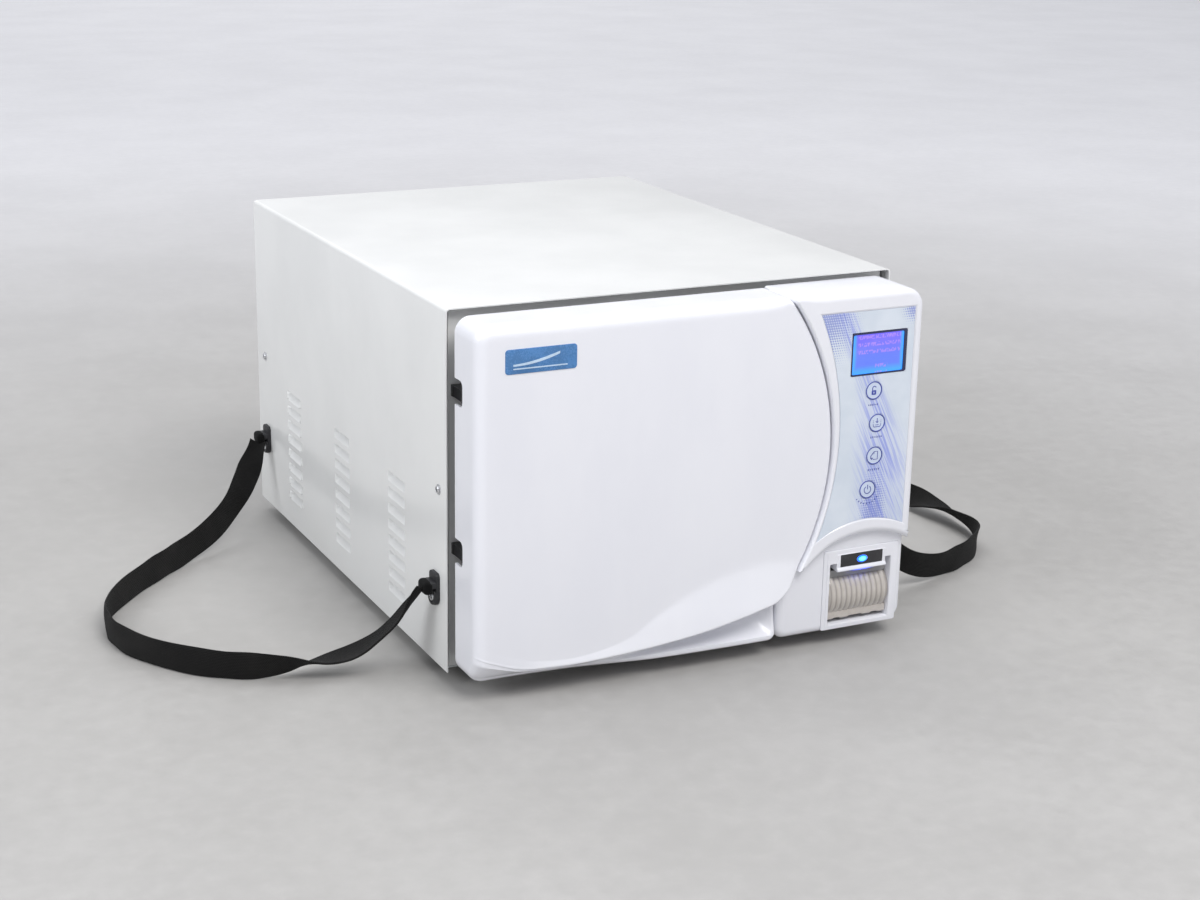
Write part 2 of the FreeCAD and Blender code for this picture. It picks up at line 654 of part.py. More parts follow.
def grip_space(grow):
    """Scooped finger space under the lip, open to the front, grown by a wall's thickness."""
    face, rim = value("door_face"), value("door_low + grip_rim")
    sections = []
    for x, top, ridge, out, deep in LIP:
        back = face + deep + grow
        corners = [V(x, face - 14, rim - grow), V(x, face - 14, ridge + grow), V(x, back, ridge + grow),
                   V(x, back, rim + (ridge - rim) * 0.2 - grow), V(x, face + deep * 0.3, rim - grow)]
        sections.append(Part.makePolygon(corners + corners[:1]))
    return Part.makeLoft(sections, True, True)


def door_cover():
    """Moulded door shell: rounded front edges, grip lip, hinge notches in its left side."""
    rear, face = value("door_rear"), value("door_face")
    wall, soft = value("door_wall"), value("door_round")
    solid = prism(door_outline(0), rear, face)
    high = value("door_high")
    tip = seam_arc(value("seam_radius"), 62, high).EndPoint
    solid = round_front(round_uprights(solid, [(tip.x, tip.y)], soft + 2), face, soft)
    solid = solid.cut(grip_space(0)).fuse(lip_loft())
    hollow = prism(door_outline(wall), rear + 1, face + wall)
    hollow = hollow.cut(grip_space(wall))
    solid = solid.cut(hollow).removeSplitter()
    tall, deep = value("notch_tall"), value("notch_deep")
    for z in (value("hinge_high_z"), value("hinge_low_z")):
        notch = Part.makeBox(16, deep + 2, tall, V(value("door_left") - 6, rear - deep, z - tall / 2))
        solid = solid.cut(notch)
    return node("door_cover", feature("door_cover_solid", solid))


def door_backing():
    """Steel plate that closes the back of the door and carries the lid."""
    body = new_body("door_plate")
    sketch = sketch_on(body, "XZ_Plane", "-door_rear - 0.5")
    low, high, left = "door_low + 3.2", "door_high - 3.2", "door_left + 22"
    add_outline(sketch, [(left, low), ("74", low), ("84", f"{low} + 12"), ("84", "140"), ("118", "165"),
                         ("118", "250"), ("84", "275"), ("84", high), (left, high)])
    pad(body, sketch, 2.5)
    return node("door_plate", body)


def chamber_lid():
    """Round pressure lid with a plug that enters the chamber mouth."""
    rear = "door_rear + 0.5"
    return turned_about_y("chamber_lid", "chamber_x", "chamber_z", [
        (rear, "0"), (rear, "lid_radius"), ("door_rear + 6", "lid_radius"), ("door_rear + 6", "121"),
        ("door_rear + 15", "120"), ("door_rear + 15", "0")])


def door_seal():
    """Silicone ring between the lid and the chamber flange."""
    return turned_about_y("door_seal", "chamber_x", "chamber_z", [
        ("door_rear + 6", "122"), ("door_rear + 6", "133"), ("flange_face - 0.3", "131"),
        ("flange_face - 0.3", "124")])


def hinges():
    """Two vertical-pin hinges: fixed brackets, pins, and the arms of the door."""
    brackets, pins, arms = [], [], []
    for z in (value("hinge_low_z"), value("hinge_high_z")):
        plate = box("bracket_plate", ("hinge_x - 5", "cover_front + 5", z - 11),
                    ("hinge_x + 26", "cover_front + 10", z))
        lug = box("bracket_lug", ("hinge_x - 4.5", "hinge_y", z - 11),
                  ("hinge_x + 4.5", "cover_front + 6", z))
        knuckle = rod("bracket_knuckle", ("hinge_x", "hinge_y", z - 11), "knuckle_radius", 11)
        whole = fuse("bracket_whole", plate, lug, knuckle)
        bore = rod("bracket_bore", ("hinge_x", "hinge_y", z - 11), "hinge_pin_radius", 11)
        brackets.append(cut("bracket", whole, bore))
        pins.append(rod("hinge_pin", ("hinge_x", "hinge_y", z - 11), "hinge_pin_radius", "2*knuckle_high"))
        sleeve = rod("arm_sleeve", ("hinge_x", "hinge_y", z + 0.3), "knuckle_radius", "knuckle_high - 0.3")
        blade = box("arm_blade", ("hinge_x", "hinge_y - 4", z + 0.3),
                    ("hinge_x + 60", "door_rear - 3", z + 11))
        eye = rod("arm_eye", ("hinge_x", "hinge_y", z + 0.3), "hinge_pin_radius + 0.05", "knuckle_high - 0.3")
        arms.append(cut("arm", fuse("arm_whole", sleeve, blade), eye))
    node("hinge_brackets", group("hinge_brackets_group", brackets))
    node("hinge_pins", group("hinge_pins_group", pins))
    node("door_hinge_arms", group("door_hinge_arms_group", arms))


BOLT_LONG, BOLT_RADIUS = 60, 5


def lock():
    """Door lock: a catch blade on the door, a sliding bolt, its guide and its motor."""
    low, high = "chamber_z - 10", "chamber_z + 10"
    blade = box("catch_blade", (90, "door_rear + 0.5", low), (96, "cover_front + 28", high))
    eye = rod("catch_eye", (88, "cover_front + 19", "chamber_z"), BOLT_RADIUS + 1, 10, "x")
    foot = box("catch_foot", (76, "door_rear + 0.5", low), (112, "door_rear + 4", high))
    node("lock_catch", cut("catch_cut", fuse("catch_whole", blade, foot), eye))
    bolt = rod("lock_bolt_rod", (102, "cover_front + 19", "chamber_z"), BOLT_RADIUS, BOLT_LONG, "x")
    node("lock_bolt", bolt)
    guide = box("lock_guide_block", (106, "cover_front + 12", low), (140, "cover_front + 28", high))
    bore = rod("lock_guide_bore", (100, "cover_front + 19", "chamber_z"), BOLT_RADIUS + 0.06, 80, "x")
    motor = rod("lock_motor_can", (168, "cover_front + 32", "chamber_z"), 14, 46, "x")
    back = "cover_front + 48"
    plate = box("lock_motor_plate", (164, "cover_front + 12", "chamber_z - 16"),
                (168, back, "chamber_z + 16"))
    tray = box("lock_tray", (106, "cover_front + 12", "chamber_z - 16"), (168, back, low))
    node("lock_actuator", fuse("lock_actuator_solid", cut("lock_guide", guide, bore), tray, motor, plate))


# ---------------------------------------------------------------- control panel

def panel_outline(inset, low_arch=False):
    """Front view of the panel; with low_arch, only its raised part above the arch."""
    right, low = value("panel_right") - inset, value("panel_low") + inset
    high = value("panel_high") - inset
    radius = value("seam_radius") + value("seam_gap") + inset
    left_foot = value("door_foot_x") + value("seam_gap") + inset
    top_turn, low_turn, foot_turn = 20 - inset, 16 - inset, 12 - inset
    top = corner_arc(right - top_turn, high - top_turn, top_turn, 0)
    if low_arch:
        seam = seam_arc(radius, high, 90 + inset)
        toe = seam.EndPoint + V(8, -3, 0)
        arch = Part.Arc(toe, V((toe.x + right) / 2 + 12, 123 + inset, 0), V(right, 111 + inset, 0))
        return chain([top, seam, arch])
    seam = seam_arc(radius, high, 64)
    return chain([top, seam, corner_arc(left_foot + foot_turn, low + foot_turn, foot_turn, 180),
                  corner_arc(right - low_turn, low + low_turn, low_turn, 270)])


def overlay_outline(inset):
    """Front view of the keypad sheet: curved left side and arched foot."""
    right, high = value("overlay_right") - inset, value("overlay_high") - inset
    side = side_arc(value("overlay_arc_x"), value("overlay_arc_z"), value("overlay_arc_radius") + inset,
                    high, 122 + inset)
    foot = Part.Arc(side.EndPoint, V(183, 140 + inset, 0), V(right, 130 + inset, 0))
    top = Part.LineSegment(V(right, high, 0), side.StartPoint)
    return [side, foot, Part.LineSegment(foot.EndPoint, top.StartPoint), top]


BUTTONS = {"padlock_button": (191, 278), "arrow_button": (197, 243), "page_button": (196, 208),
           "power_button": (190, 172)}


def control_panel():
    """Moulded housing: raised keypad field over an arch, printer bay below."""
    rear = value("door_rear")
    step, face, wall = value("panel_step"), value("panel_face"), value("panel_wall")
    corner = seam_arc(value("seam_radius") + value("seam_gap"), value("panel_high"), 90).StartPoint
    tip = (corner.x, corner.y)
    base = round_front(round_uprights(prism(panel_outline(0), rear, step), [tip], 10), step, 8)
    field = round_uprights(prism(panel_outline(0, True), step + 9, face), [tip], 10)
    solid = base.fuse(field)
    solid = solid.cut(prism(panel_outline(wall), rear + 1, step + wall + 1))
    solid = solid.cut(prism(panel_outline(wall + 7, True), step + 12, face + wall + 1))
    solid = solid.cut(prism(overlay_outline(-0.4), face - 1, face + value("overlay_gauge")))
    screen = Part.makeBox(value("screen_wide") + 0.6, 20, value("screen_tall") + 0.6,
                          V(value("screen_x") - value("screen_wide") / 2 - 0.3, face - 2,
                            value("screen_z") - value("screen_tall") / 2 - 0.3))
    solid = solid.cut(screen)
    for x, z in BUTTONS.values():
        hole = Part.makeCylinder(value("button_radius") + 0.3, 20, V(x, face - 2, z), V(0, 1, 0))
        solid = solid.cut(hole)
    bay = Part.makeBox(value("printer_wide") + 0.4, 60, value("printer_tall") + 0.4,
                       V(value("printer_left") - 0.2, face - 2, value("printer_low") - 0.2))
    solid = solid.cut(bay)
    bulkhead = value("cover_front + bulkhead_set")
    posts = ((120, 40, step + 3), (238, 116, step + 3), (150, 352, face + 4), (222, 352, face + 4))
    for x, z, start in posts:
        solid = solid.fuse(Part.makeCylinder(4, bulkhead - start, V(x, start, z), V(0, 1, 0)))
    node("panel_housing", feature("panel_housing_solid", solid))


def keypad():
    """Printed keypad sheet, the screen behind its window, and four push buttons."""
    face, gauge = value("panel_face"), value("overlay_gauge")
    film = prism(overlay_outline(0), face + gauge, face + 0.1)
    sx, sz = value("screen_x"), value("screen_z")
    wide, tall = value("screen_wide"), value("screen_tall")
    corner = V(sx - wide / 2 - 0.3, face - 1, sz - tall / 2 - 0.3)
    film = film.cut(Part.makeBox(wide + 0.6, 4, tall + 0.6, corner))
    for x, z in BUTTONS.values():
        film = film.cut(Part.makeCylinder(value("button_radius") + 0.3, 4, V(x, face - 1, z), V(0, 1, 0)))
    node("keypad_sheet", feature("keypad_sheet_solid", film))
    bezel = box("screen_bezel_block",
                ("screen_x - screen_wide/2", "panel_face + 0.2", "screen_z - screen_tall/2"),
                ("screen_x + screen_wide/2", "panel_face + 6", "screen_z + screen_tall/2"))
    opening = box("screen_opening", ("screen_x - 28", "panel_face", "screen_z - 18"),
                  ("screen_x + 28", "panel_face + 7", "screen_z + 18"))
    node("screen_bezel", cut("screen_bezel_cut", bezel, opening))
    node("screen_window", box("screen_glass", ("screen_x - 28", "panel_face + 0.6", "screen_z - 18"),
                              ("screen_x + 28", "panel_face + 2", "screen_z + 18")))
    module = box("display_block", ("screen_x - 31", "panel_face + 6", "screen_z - 21"),
                 ("screen_x + 31", "panel_face + 16", "screen_z + 21"))
    board = box("switch_board_plate", (154, "panel_face + 16", 150), (232, "panel_face + 18", 345))
    posts = [rod("tact_switch", (x, "panel_face + 12.5", z), 3, 4, "y") for x, z in BUTTONS.values()]
    node("display_board", fuse("display_board_solid", board, module, *posts))
    for name, (x, z) in BUTTONS.items():
        cap = rod(name + "_cap", (x, "panel_face - 0.6", z), "button_radius", 5, "y")
        stem = rod(name + "_stem", (x, "panel_face + 4.4", z), 3, 7, "y")
        node(name, fuse(name + "_solid", cap, stem))


PRINTER_HINGE = (-328.5, 29)


def printer():
    """Panel printer: frame, paper tub, curved see-through cover, roll, head and feed button."""
    left, right = "printer_left", "printer_left + printer_wide"
    low, high = "printer_low", "printer_low + printer_tall"
    rim = box("printer_rim", (left, "panel_step - 1", low), (right, "panel_step + 20", high))
    window = box("printer_window", (f"{left} + 8", "panel_step - 2", f"{low} + 5"),
                 (f"{right} - 9", "panel_step + 21", f"{high} - 3"))
    node("printer_frame", cut("printer_frame_cut", rim, window))
    tub = box("printer_tub_block", (f"{left} + 6", "panel_step + 20", f"{low} + 3"),
              (f"{right} - 7", "panel_step + 56", f"{high} - 2"))
    tub_space = box("printer_tub_space", (f"{left} + 8", "panel_step + 19", f"{low} + 5"),
                    (f"{right} - 9", "panel_step + 54", f"{high} - 12"))
    node("printer_tub", cut("printer_tub_cut", tub, tub_space))
    head = box("printer_head_block", ("head_left", "panel_step + 0.4", "head_low"),
               ("head_right", "panel_step + 14", "head_high"))
    label = box("printer_label_cut", ("label_left", "panel_step", "label_low"),
                ("label_right", "panel_step + 1.6", "label_high"))
    hole = rod("printer_button_hole", ("feed_x", "panel_step - 1", "feed_z"), "feed_radius + 0.3", 12, "y")
    node("printer_head", cut("printer_head_cut", head, label, hole))
    plate = box("printer_label_plate", ("label_left", "panel_step + 1.2", "label_low"),
                ("label_right", "panel_step + 1.6", "label_high"))
    eye = rod("printer_label_eye", ("feed_x", "panel_step", "feed_z"), "feed_radius + 0.3", 4, "y")
    node("printer_label", cut("printer_label_cut_out", plate, eye))
    button = rod("printer_button_rod", ("feed_x", "panel_step + 0.6", "feed_z"), "feed_radius", 6, "y")
    node("printer_button", button)
    printer_cover()
    paper_roll()


def printer_cover():
    """Curved see-through cover over the roll, ribbed outside, with its hinge bar at the foot."""
    x, y, z = value("roll_x"), value("roll_y"), value("roll_z")
    half, outside, inside = 36.5, 27, 24.5
    left = V(x - half, y, z)
    outer = Part.makeCylinder(outside, 2 * half, left, V(1, 0, 0))
    for i in range(11):
        outer = outer.fuse(Part.makeTorus(outside - 0.4, 1, V(x - 31 + 6.2 * i, y, z), V(1, 0, 0)))
    shell = outer.cut(Part.makeCylinder(inside, 2 * half, left, V(1, 0, 0)))
    shell = shell.common(Part.makeBox(100, 17, 44, V(x - 50, y - 31, z - 21)))
    lip = Part.makeBox(2 * half, 2.5, 7.5, V(x - half, y - 17.5, z + 21))
    web = Part.makeBox(2 * half, 5, 8, V(x - half, y - 21, z - 24))
    bar = Part.makeCylinder(2.5, 2 * half, V(x - half, *PRINTER_HINGE), V(1, 0, 0))
    solid = shell.fuse([lip, web, bar]).removeSplitter()
    node("printer_cover", feature("printer_cover_solid", solid))


def paper_roll():
    """Roll of thermal paper, free to turn in its tub."""
    body = new_body("paper_roll", "roll_x", "roll_y", "roll_z")
    sketch = sketch_on(body, "XZ_Plane")
    add_outline(sketch, [("-roll_wide/2", "roll_core"), ("roll_wide/2", "roll_core"),
                         ("roll_wide/2", "roll_radius"), ("-roll_wide/2", "roll_radius")])
    spin(body, sketch, "H_Axis")
    return node("paper_roll", body)


# ---------------------------------------------------------------- carrying straps

STRAP_ANCHORS = [(-246, 93), (303, 95)]

# Middle line of each strap, from its front bracket to its rear bracket.
LEFT_ROUTE = [(-264.5, -246, 101), (-273, -239, 84), (-290, -229, 56), (-317, -214, 28), (-352, -200, 16),
              (-398, -193, 15.5), (-446, -172, 15.5), (-490, -128, 15.5), (-520, -76, 15.5),
              (-530, -26, 15.5), (-520, 28, 15.5), (-492, 72, 15.5), (-446, 124, 15.5), (-394, 172, 16),
              (-345, 214, 25), (-308, 249, 46), (-282, 276, 74), (-265, 296, 98)]
RIGHT_ROUTE = [(264.5, -246, 101), (274, -241, 84), (296, -235, 58), (330, -228, 32), (372, -216, 17),
               (416, -200, 15.5), (458, -176, 15.5), (490, -142, 15.5), (504, -98, 15.5),
               (506, -46, 15.5), (500, 8, 15.5), (486, 66, 15.5), (452, 122, 15.5), (402, 172, 16),
               (350, 214, 25), (310, 249, 46), (282, 276, 74), (265, 296, 98)]


def soft_path(points):
    """Straight runs joined by tangent arcs, each as large as its two runs allow."""
    corners = [V(*p) for p in points]
    edges, at, radii = [], corners[0], []
    for before, corner, after in zip(corners, corners[1:], corners[2:]):
        run_in, run_out = corner - before, after - corner
        turn = run_in.getAngle(run_out)
        reach = 0.45 * min(run_in.Length, run_out.Length)
        start = corner - run_in.normalize() * reach
        end = corner + run_out.normalize() * reach
        radius = reach / math.tan(turn / 2)
        radii.append(radius)
        centre_way = ((start + end) * 0.5 - corner).normalize()
        middle = corner + centre_way * (math.hypot(radius, reach) - radius)
        edges.append(Part.LineSegment(at, start).toShape())
        edges.append(Part.Arc(start, middle, end).toShape())
        at = end
    edges.append(Part.LineSegment(at, corners[-1]).toShape())
    return Part.Wire(edges), radii


def strap(name, points):
    """Flat webbing standing on its edge along its route, ruled from section to section."""
    path, radii = soft_path(points)
    wide, thick = value("strap_wide"), value("strap_thick")
    sections = []
    for edge in path.OrderedEdges:
        stations = 5 if edge.Curve.TypeId == "Part::GeomCircle" else 2
        for i in range(stations if edge is path.OrderedEdges[0] or stations == 5 else 0):
            at = edge.FirstParameter + (edge.LastParameter - edge.FirstParameter) * i / (stations - 1)
            sections.append((edge.valueAt(at), edge.tangentAt(at)))
    last = path.OrderedEdges[-1]
    sections.append((last.valueAt(last.LastParameter), last.tangentAt(last.LastParameter)))
    outlines = []
    for centre, along in sections:
        across = V(0, 0, 1).cross(along).normalize()
        up = along.cross(across).normalize()
        corners = [centre + across * (s * thick / 2) + up * (t * wide / 2)
                   for s, t in ((-1, -1), (1, -1), (1, 1), (-1, 1))]
        outlines.append(Part.makePolygon(corners + corners[:1]))
    solid = Part.makeLoft(outlines, True, True)
    print(name, "length", round(path.Length, 1), "volume over section x length",
          round(solid.Volume / (wide * thick * path.Length), 3), "lowest", round(solid.BoundBox.ZMin, 2),
          "radii", [round(radius) for radius in radii])
    return node(name, feature(name + "_solid", solid))


def strap_brackets():
    """Black eye tabs screwed to the sides, which the straps are sewn to."""
    tabs, screws = [], []
    for side in (-1, 1):
        wall = side * value("cover_width") / 2
        for y, z in STRAP_ANCHORS:
            low = wall if side > 0 else wall - 4
            plate = Part.makeBox(4, 20, 24, V(low, y - 10, z - 4))
            foot = Part.makeCylinder(10, 4, V(low, y, z - 5), V(1, 0, 0))
            bar = Part.makeBox(13, 20, 8, V(wall if side > 0 else wall - 13, y - 10, z + 4))
            tabs.append(feature("strap_tab", plate.fuse(foot).fuse(bar).removeSplitter()))
            head = Part.makeCylinder(5, 2.6, V(wall + (4 if side > 0 else -6.6), y, z - 5), V(1, 0, 0))
            screws.append(feature("strap_screw", head))
    node("strap_brackets", group("strap_brackets_group", tabs))
    node("strap_screws", group("strap_screws_group", screws))


# ---------------------------------------------------------------- build and write

outer_cover()
base_pan()
front_bulkhead()
rear_panel()
feet()
cover_screws()
chamber()
chamber_jacket()
tray_rack()
trays()
water_tanks()
tank_ports()
air_filter()
steam_generator()
vacuum_pump()
condenser()
cooling_fan()
valves_and_pipes()
electrics()
door_cover()
door_backing()
chamber_lid()
door_seal()
hinges()
lock()
control_panel()
keypad()
printer()
strap("left_strap", LEFT_ROUTE)
strap("right_strap", RIGHT_ROUTE)
strap_brackets()

doc.recompute()
for obj in doc.Objects:
    assert not {"Invalid", "Error"} & set(obj.State), f"{obj.Name} failed: {obj.State}"
os.makedirs("parts", exist_ok=True)
for name, obj in nodes.items():
    shape = obj.Shape
    assert not shape.isNull() and shape.isValid() and shape.Volume > 0, f"{name} has a bad shape"
    shape.exportStep(f"parts/{name}.step")
print(len(nodes), "nodes")
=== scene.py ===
import json
import math

import bmesh
import bpy
from mathutils import Matrix, Vector


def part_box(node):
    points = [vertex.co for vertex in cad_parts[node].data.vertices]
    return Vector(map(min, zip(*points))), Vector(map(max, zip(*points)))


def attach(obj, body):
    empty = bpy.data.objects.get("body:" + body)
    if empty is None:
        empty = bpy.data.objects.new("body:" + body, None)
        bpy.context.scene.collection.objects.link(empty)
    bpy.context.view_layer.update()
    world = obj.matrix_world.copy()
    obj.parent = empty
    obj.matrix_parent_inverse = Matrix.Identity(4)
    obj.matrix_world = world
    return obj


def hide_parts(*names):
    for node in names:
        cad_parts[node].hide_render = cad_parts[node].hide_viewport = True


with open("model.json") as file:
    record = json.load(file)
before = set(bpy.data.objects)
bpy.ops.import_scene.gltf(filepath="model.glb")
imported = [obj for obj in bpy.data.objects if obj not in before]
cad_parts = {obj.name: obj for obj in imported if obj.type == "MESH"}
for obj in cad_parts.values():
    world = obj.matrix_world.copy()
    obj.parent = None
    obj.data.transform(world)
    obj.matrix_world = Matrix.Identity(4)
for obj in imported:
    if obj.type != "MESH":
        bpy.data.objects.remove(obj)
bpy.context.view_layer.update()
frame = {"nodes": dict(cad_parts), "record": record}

MM = 0.001


def mm_box(node):
    """Corners of a CAD node in millimetres."""
    low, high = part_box(node)
    return Vector(low) / MM, Vector(high) / MM


def centre_of(node):
    """Middle of a CAD node in millimetres."""
    return [(a + b) / 2 for a, b in zip(*mm_box(node))]


# ---------------------------------------------------------------- shader terms

class Term:
    """A node's output that can be added, multiplied and divided like a number."""

    def __init__(self, tree, socket):
        self.tree, self.socket = tree, socket

    def __add__(self, other):
        return maths("ADD", self, other)

    def __sub__(self, other):
        return maths("SUBTRACT", self, other)

    def __mul__(self, other):
        return maths("MULTIPLY", self, other)

    def __truediv__(self, other):
        return maths("DIVIDE", self, other)


def new_node(tree, kind, output, inputs, **settings):
    """Output of a new node, whose inputs are numbers, vectors, colours or Terms."""
    node = tree.nodes.new("ShaderNode" + kind)
    for key, value in settings.items():
        setattr(node, key, value)
    for key, value in inputs.items():
        socket = node.inputs[key]
        if isinstance(value, Term):
            tree.links.new(value.socket, socket)
        else:
            socket.default_value = (*value, 1) if socket.type == "RGBA" else value
    return Term(tree, node.outputs[output])


def tree_of(values):
    return next(value.tree for value in values if isinstance(value, Term))


def maths(kind, *values):
    """Math node on numbers and at least one Term."""
    return new_node(tree_of(values), "Math", 0, dict(enumerate(values)), operation=kind)


def mix(*blend):
    """Blend of two colours: its factor, the first colour and the second."""
    return new_node(tree_of(blend), "Mix", 2, dict(zip((0, 6, 7), blend)), data_type="RGBA")


def ramp(term, start, end, low=0.0, high=1.0):
    """Smooth change from low to high as the term goes from start to end."""
    settings = {"Value": term, "From Min": start, "From Max": end, "To Min": low, "To Max": high}
    return new_node(term.tree, "MapRange", "Result", settings, interpolation_type="SMOOTHSTEP")


def mid(term, low=0.0, high=1.0):
    """Change from low to high over the middle range of a noise."""
    return ramp(term, 0.3, 0.7, low, high)


def highest(first, *others):
    for other in others:
        first = maths("MAXIMUM", first, other)
    return first


def size_of(term):
    return maths("ABSOLUTE", term)


def radius_of(across, up, wide=1.0, tall=1.0):
    """Length of (across, up), with a weight on each square."""
    return maths("SQRT", across * across * wide + up * up * tall)


def stripe(term, pitch):
    """Distance from the middle of a stripe, as a share of the pitch, 0 to 0.5."""
    return size_of(maths("FRACT", term / pitch) - 0.5)


def axes(vector):
    """The three parts of a vector."""
    return [new_node(vector.tree, "SeparateXYZ", i, {0: vector}) for i in range(3)]


# ---------------------------------------------------------------- materials

class Finish:
    """A material in the making, with its even values set on the shader itself."""

    def __init__(self, name, **sockets):
        self.made = bpy.data.materials.new(name)
        self.made.use_nodes = True
        self.tree = self.made.node_tree
        self.shader = self.tree.nodes["Principled BSDF"]
        for key, number in sockets.items():
            self.shader.inputs[key.replace("_", " ").title().replace("Ior", "IOR")].default_value = number

    def place(self, stretch=(1, 1, 1)):
        """Position on the object in metres, stretched along its axes."""
        where = new_node(self.tree, "TexCoord", "Object", {})
        return new_node(self.tree, "VectorMath", 0, {0: where, 1: stretch}, operation="MULTIPLY")

    def shares(self, node):
        """How far across and up a CAD node, 0 to 1."""
        (x, _, z), (low, high) = axes(self.place()), mm_box(node)
        return (x - low.x * MM) / ((high.x - low.x) * MM), (z - low.z * MM) / ((high.z - low.z) * MM)

    def from_centre(self, node):
        """Position from the middle of a CAD node, in metres."""
        return [axis - middle * MM for axis, middle in zip(axes(self.place()), centre_of(node))]

    def slanted(self, across, along, lean):
        """Vector for streaks that lean over: fine across them and long along them."""
        x, _, z = axes(self.place())
        return new_node(self.tree, "CombineXYZ", 0, {0: (x + z * lean) * across, 1: z * along})

    def grain(self, scale, detail=3.0, stretch=(1, 1, 1), rough=0.55, vector=None):
        """Noise over the object, scale in features per metre."""
        settings = {"Scale": scale, "Detail": detail, "Roughness": rough}
        return new_node(self.tree, "TexNoise", "Fac", {"Vector": vector or self.place(stretch), **settings})

    def cells(self, scale, output="Distance"):
        """Voronoi cells over the object."""
        return new_node(self.tree, "TexVoronoi", output, {"Vector": self.place(), "Scale": scale})

    def feed(self, key, term):
        self.tree.links.new(term.socket, self.shader.inputs[key])

    def colour(self, *blend):
        """Base colour: factor, first colour, second colour."""
        self.feed("Base Color", mix(*blend))

    def gloss(self, term, smooth, rough):
        self.feed("Roughness", mid(term, smooth, rough))

    def bump(self, height, strength, distance):
        """Bump from a height term, distance in metres."""
        settings = {"Strength": strength, "Distance": distance, "Height": height}
        self.feed("Normal", new_node(self.tree, "Bump", 0, settings))


def tinted(colour, by):
    """Colour made darker or paler by a factor."""
    return tuple(min(1.0, channel * by) for channel in colour)


def surface(name, dark, pale, rough, broad, fine, tone, sheen, relief, **sockets):
    """Broad patches over a fine grain; tone and sheen are the patches' shares in colour and gloss."""
    finish = Finish(name, **sockets)
    broad, fine = finish.grain(*broad), finish.grain(*fine)
    finish.colour(mid(broad * tone + fine * (1 - tone)), dark, pale)
    finish.gloss(broad * sheen + fine * (1 - sheen), *rough)
    finish.bump(fine, *relief)
    return finish.made


def plain(name, colour, rough, shade=0.05, patch=9.0, texture=700.0, strength=0.12, **sockets):
    """Everyday surface: broad patches of tone and gloss over a fine texture."""
    return surface(name, tinted(colour, 1 - shade), tinted(colour, 1 + shade), rough, (patch, 4.0),
                   (texture, 2.0), 0.7, 0.5, (strength, 0.0002), **sockets)


def brushed(name, colour, rough, stretch):
    """Metal with fine drawn lines along one axis."""
    return surface(name, tinted(colour, 0.86), tinted(colour, 1.06), rough, (12.0, 4.0),
                   (260.0, 5.0, stretch, 0.7), 0.5, 0.4, (0.16, 0.0001), metallic=1.0)


def cast_metal(name, colour, rough):
    """Metal with a grainy cast skin."""
    return surface(name, tinted(colour, 0.85), tinted(colour, 1.05), rough, (18.0, 3.0), (420.0, 4.0),
                   1, 0, (0.3, 0.0002), metallic=1.0)


def gloss_white():
    """Glossy moulded plastic, very slightly cool, with faint flow marks."""
    return surface("gloss_white_plastic", (0.842, 0.850, 0.905), (0.868, 0.875, 0.925), (0.22, 0.27),
                   (14.0, 3.0, (1, 1, 0.35)), (900.0, 2.0), 1, 1, (0.05, 0.0001),
                   coat_weight=0.25, coat_roughness=0.12, ior=1.5)


def tank_plastic():
    """Milky polythene of the water tanks."""
    return surface("tank_plastic", (0.70, 0.73, 0.72), (0.82, 0.84, 0.83), (0.38, 0.52), (20.0, 4.0),
                   (500.0, 3.0), 1, 0.5, (0.2, 0.0002), ior=1.49, subsurface_weight=0.25,
                   subsurface_scale=0.01)


def powder_coat():
    """Satin powder coat with a fine orange peel, in patches a little darker towards the bottom."""
    finish = Finish("white_powder_coat", ior=1.5)
    peel, broad = finish.grain(520.0, 2.0), finish.grain(6.0, 5.0)
    # colour a little darker towards the bottom, in patches
    darker_low_down = ramp(axes(finish.place())[2], 0.10, 0.015) * ramp(broad, 0.35, 0.65)
    coat_colour = mix(mid(broad), (0.800, 0.806, 0.800), (0.850, 0.855, 0.848))
    finish.colour(darker_low_down * 0.35, coat_colour, (0.66, 0.655, 0.63))
    finish.gloss(broad * 0.6 + peel * 0.4, 0.13, 0.20)
    finish.bump(peel, 0.07, 0.0002)
    return finish.made


def galvanised():
    """Zinc-coated sheet: crystals that differ in tone and gloss."""
    finish = Finish("galvanised_steel", metallic=0.85)
    flakes, fine = finish.cells(95.0, "Color"), finish.grain(300.0, 3.0)
    finish.colour(ramp(flakes * 0.6 + fine * 0.4, 0.25, 0.8), (0.40, 0.42, 0.43), (0.60, 0.62, 0.63))
    finish.feed("Roughness", ramp(flakes, 0.0, 1.0, 0.36, 0.55))
    finish.bump(fine, 0.12, 0.0001)
    return finish.made


def circuit_board():
    """Green solder mask with paler copper tracks and soldered pads."""
    finish = Finish("circuit_board")
    x, y, _ = axes(finish.place())
    track = ramp(stripe(y + x, 0.0045), 0.16, 0.10) * ramp(finish.grain(60.0, 1.0), 0.48, 0.52)
    pad = ramp(finish.cells(160.0), 0.26, 0.2)
    mask = mix(track, (0.012, 0.10, 0.045), (0.03, 0.20, 0.08))
    finish.colour(pad * 0.8, mask, (0.62, 0.60, 0.52))
    finish.feed("Roughness", ramp(track, 0.0, 1.0, 0.35, 0.28))
    finish.bump(track + pad, 0.4, 0.0001)
    return finish.made


def lagging():
    """Needled fibre blanket."""
    finish = Finish("lagging_fibre", sheen_weight=0.3)
    fibre, tufts = finish.grain(350.0, 6.0, (1, 0.3, 1), 0.75), finish.cells(60.0)
    finish.colour(mid(fibre), (0.62, 0.59, 0.50), (0.80, 0.78, 0.70))
    finish.gloss(fibre, 0.85, 0.98)
    finish.bump(fibre * 0.5 + tufts, 0.6, 0.001)
    return finish.made


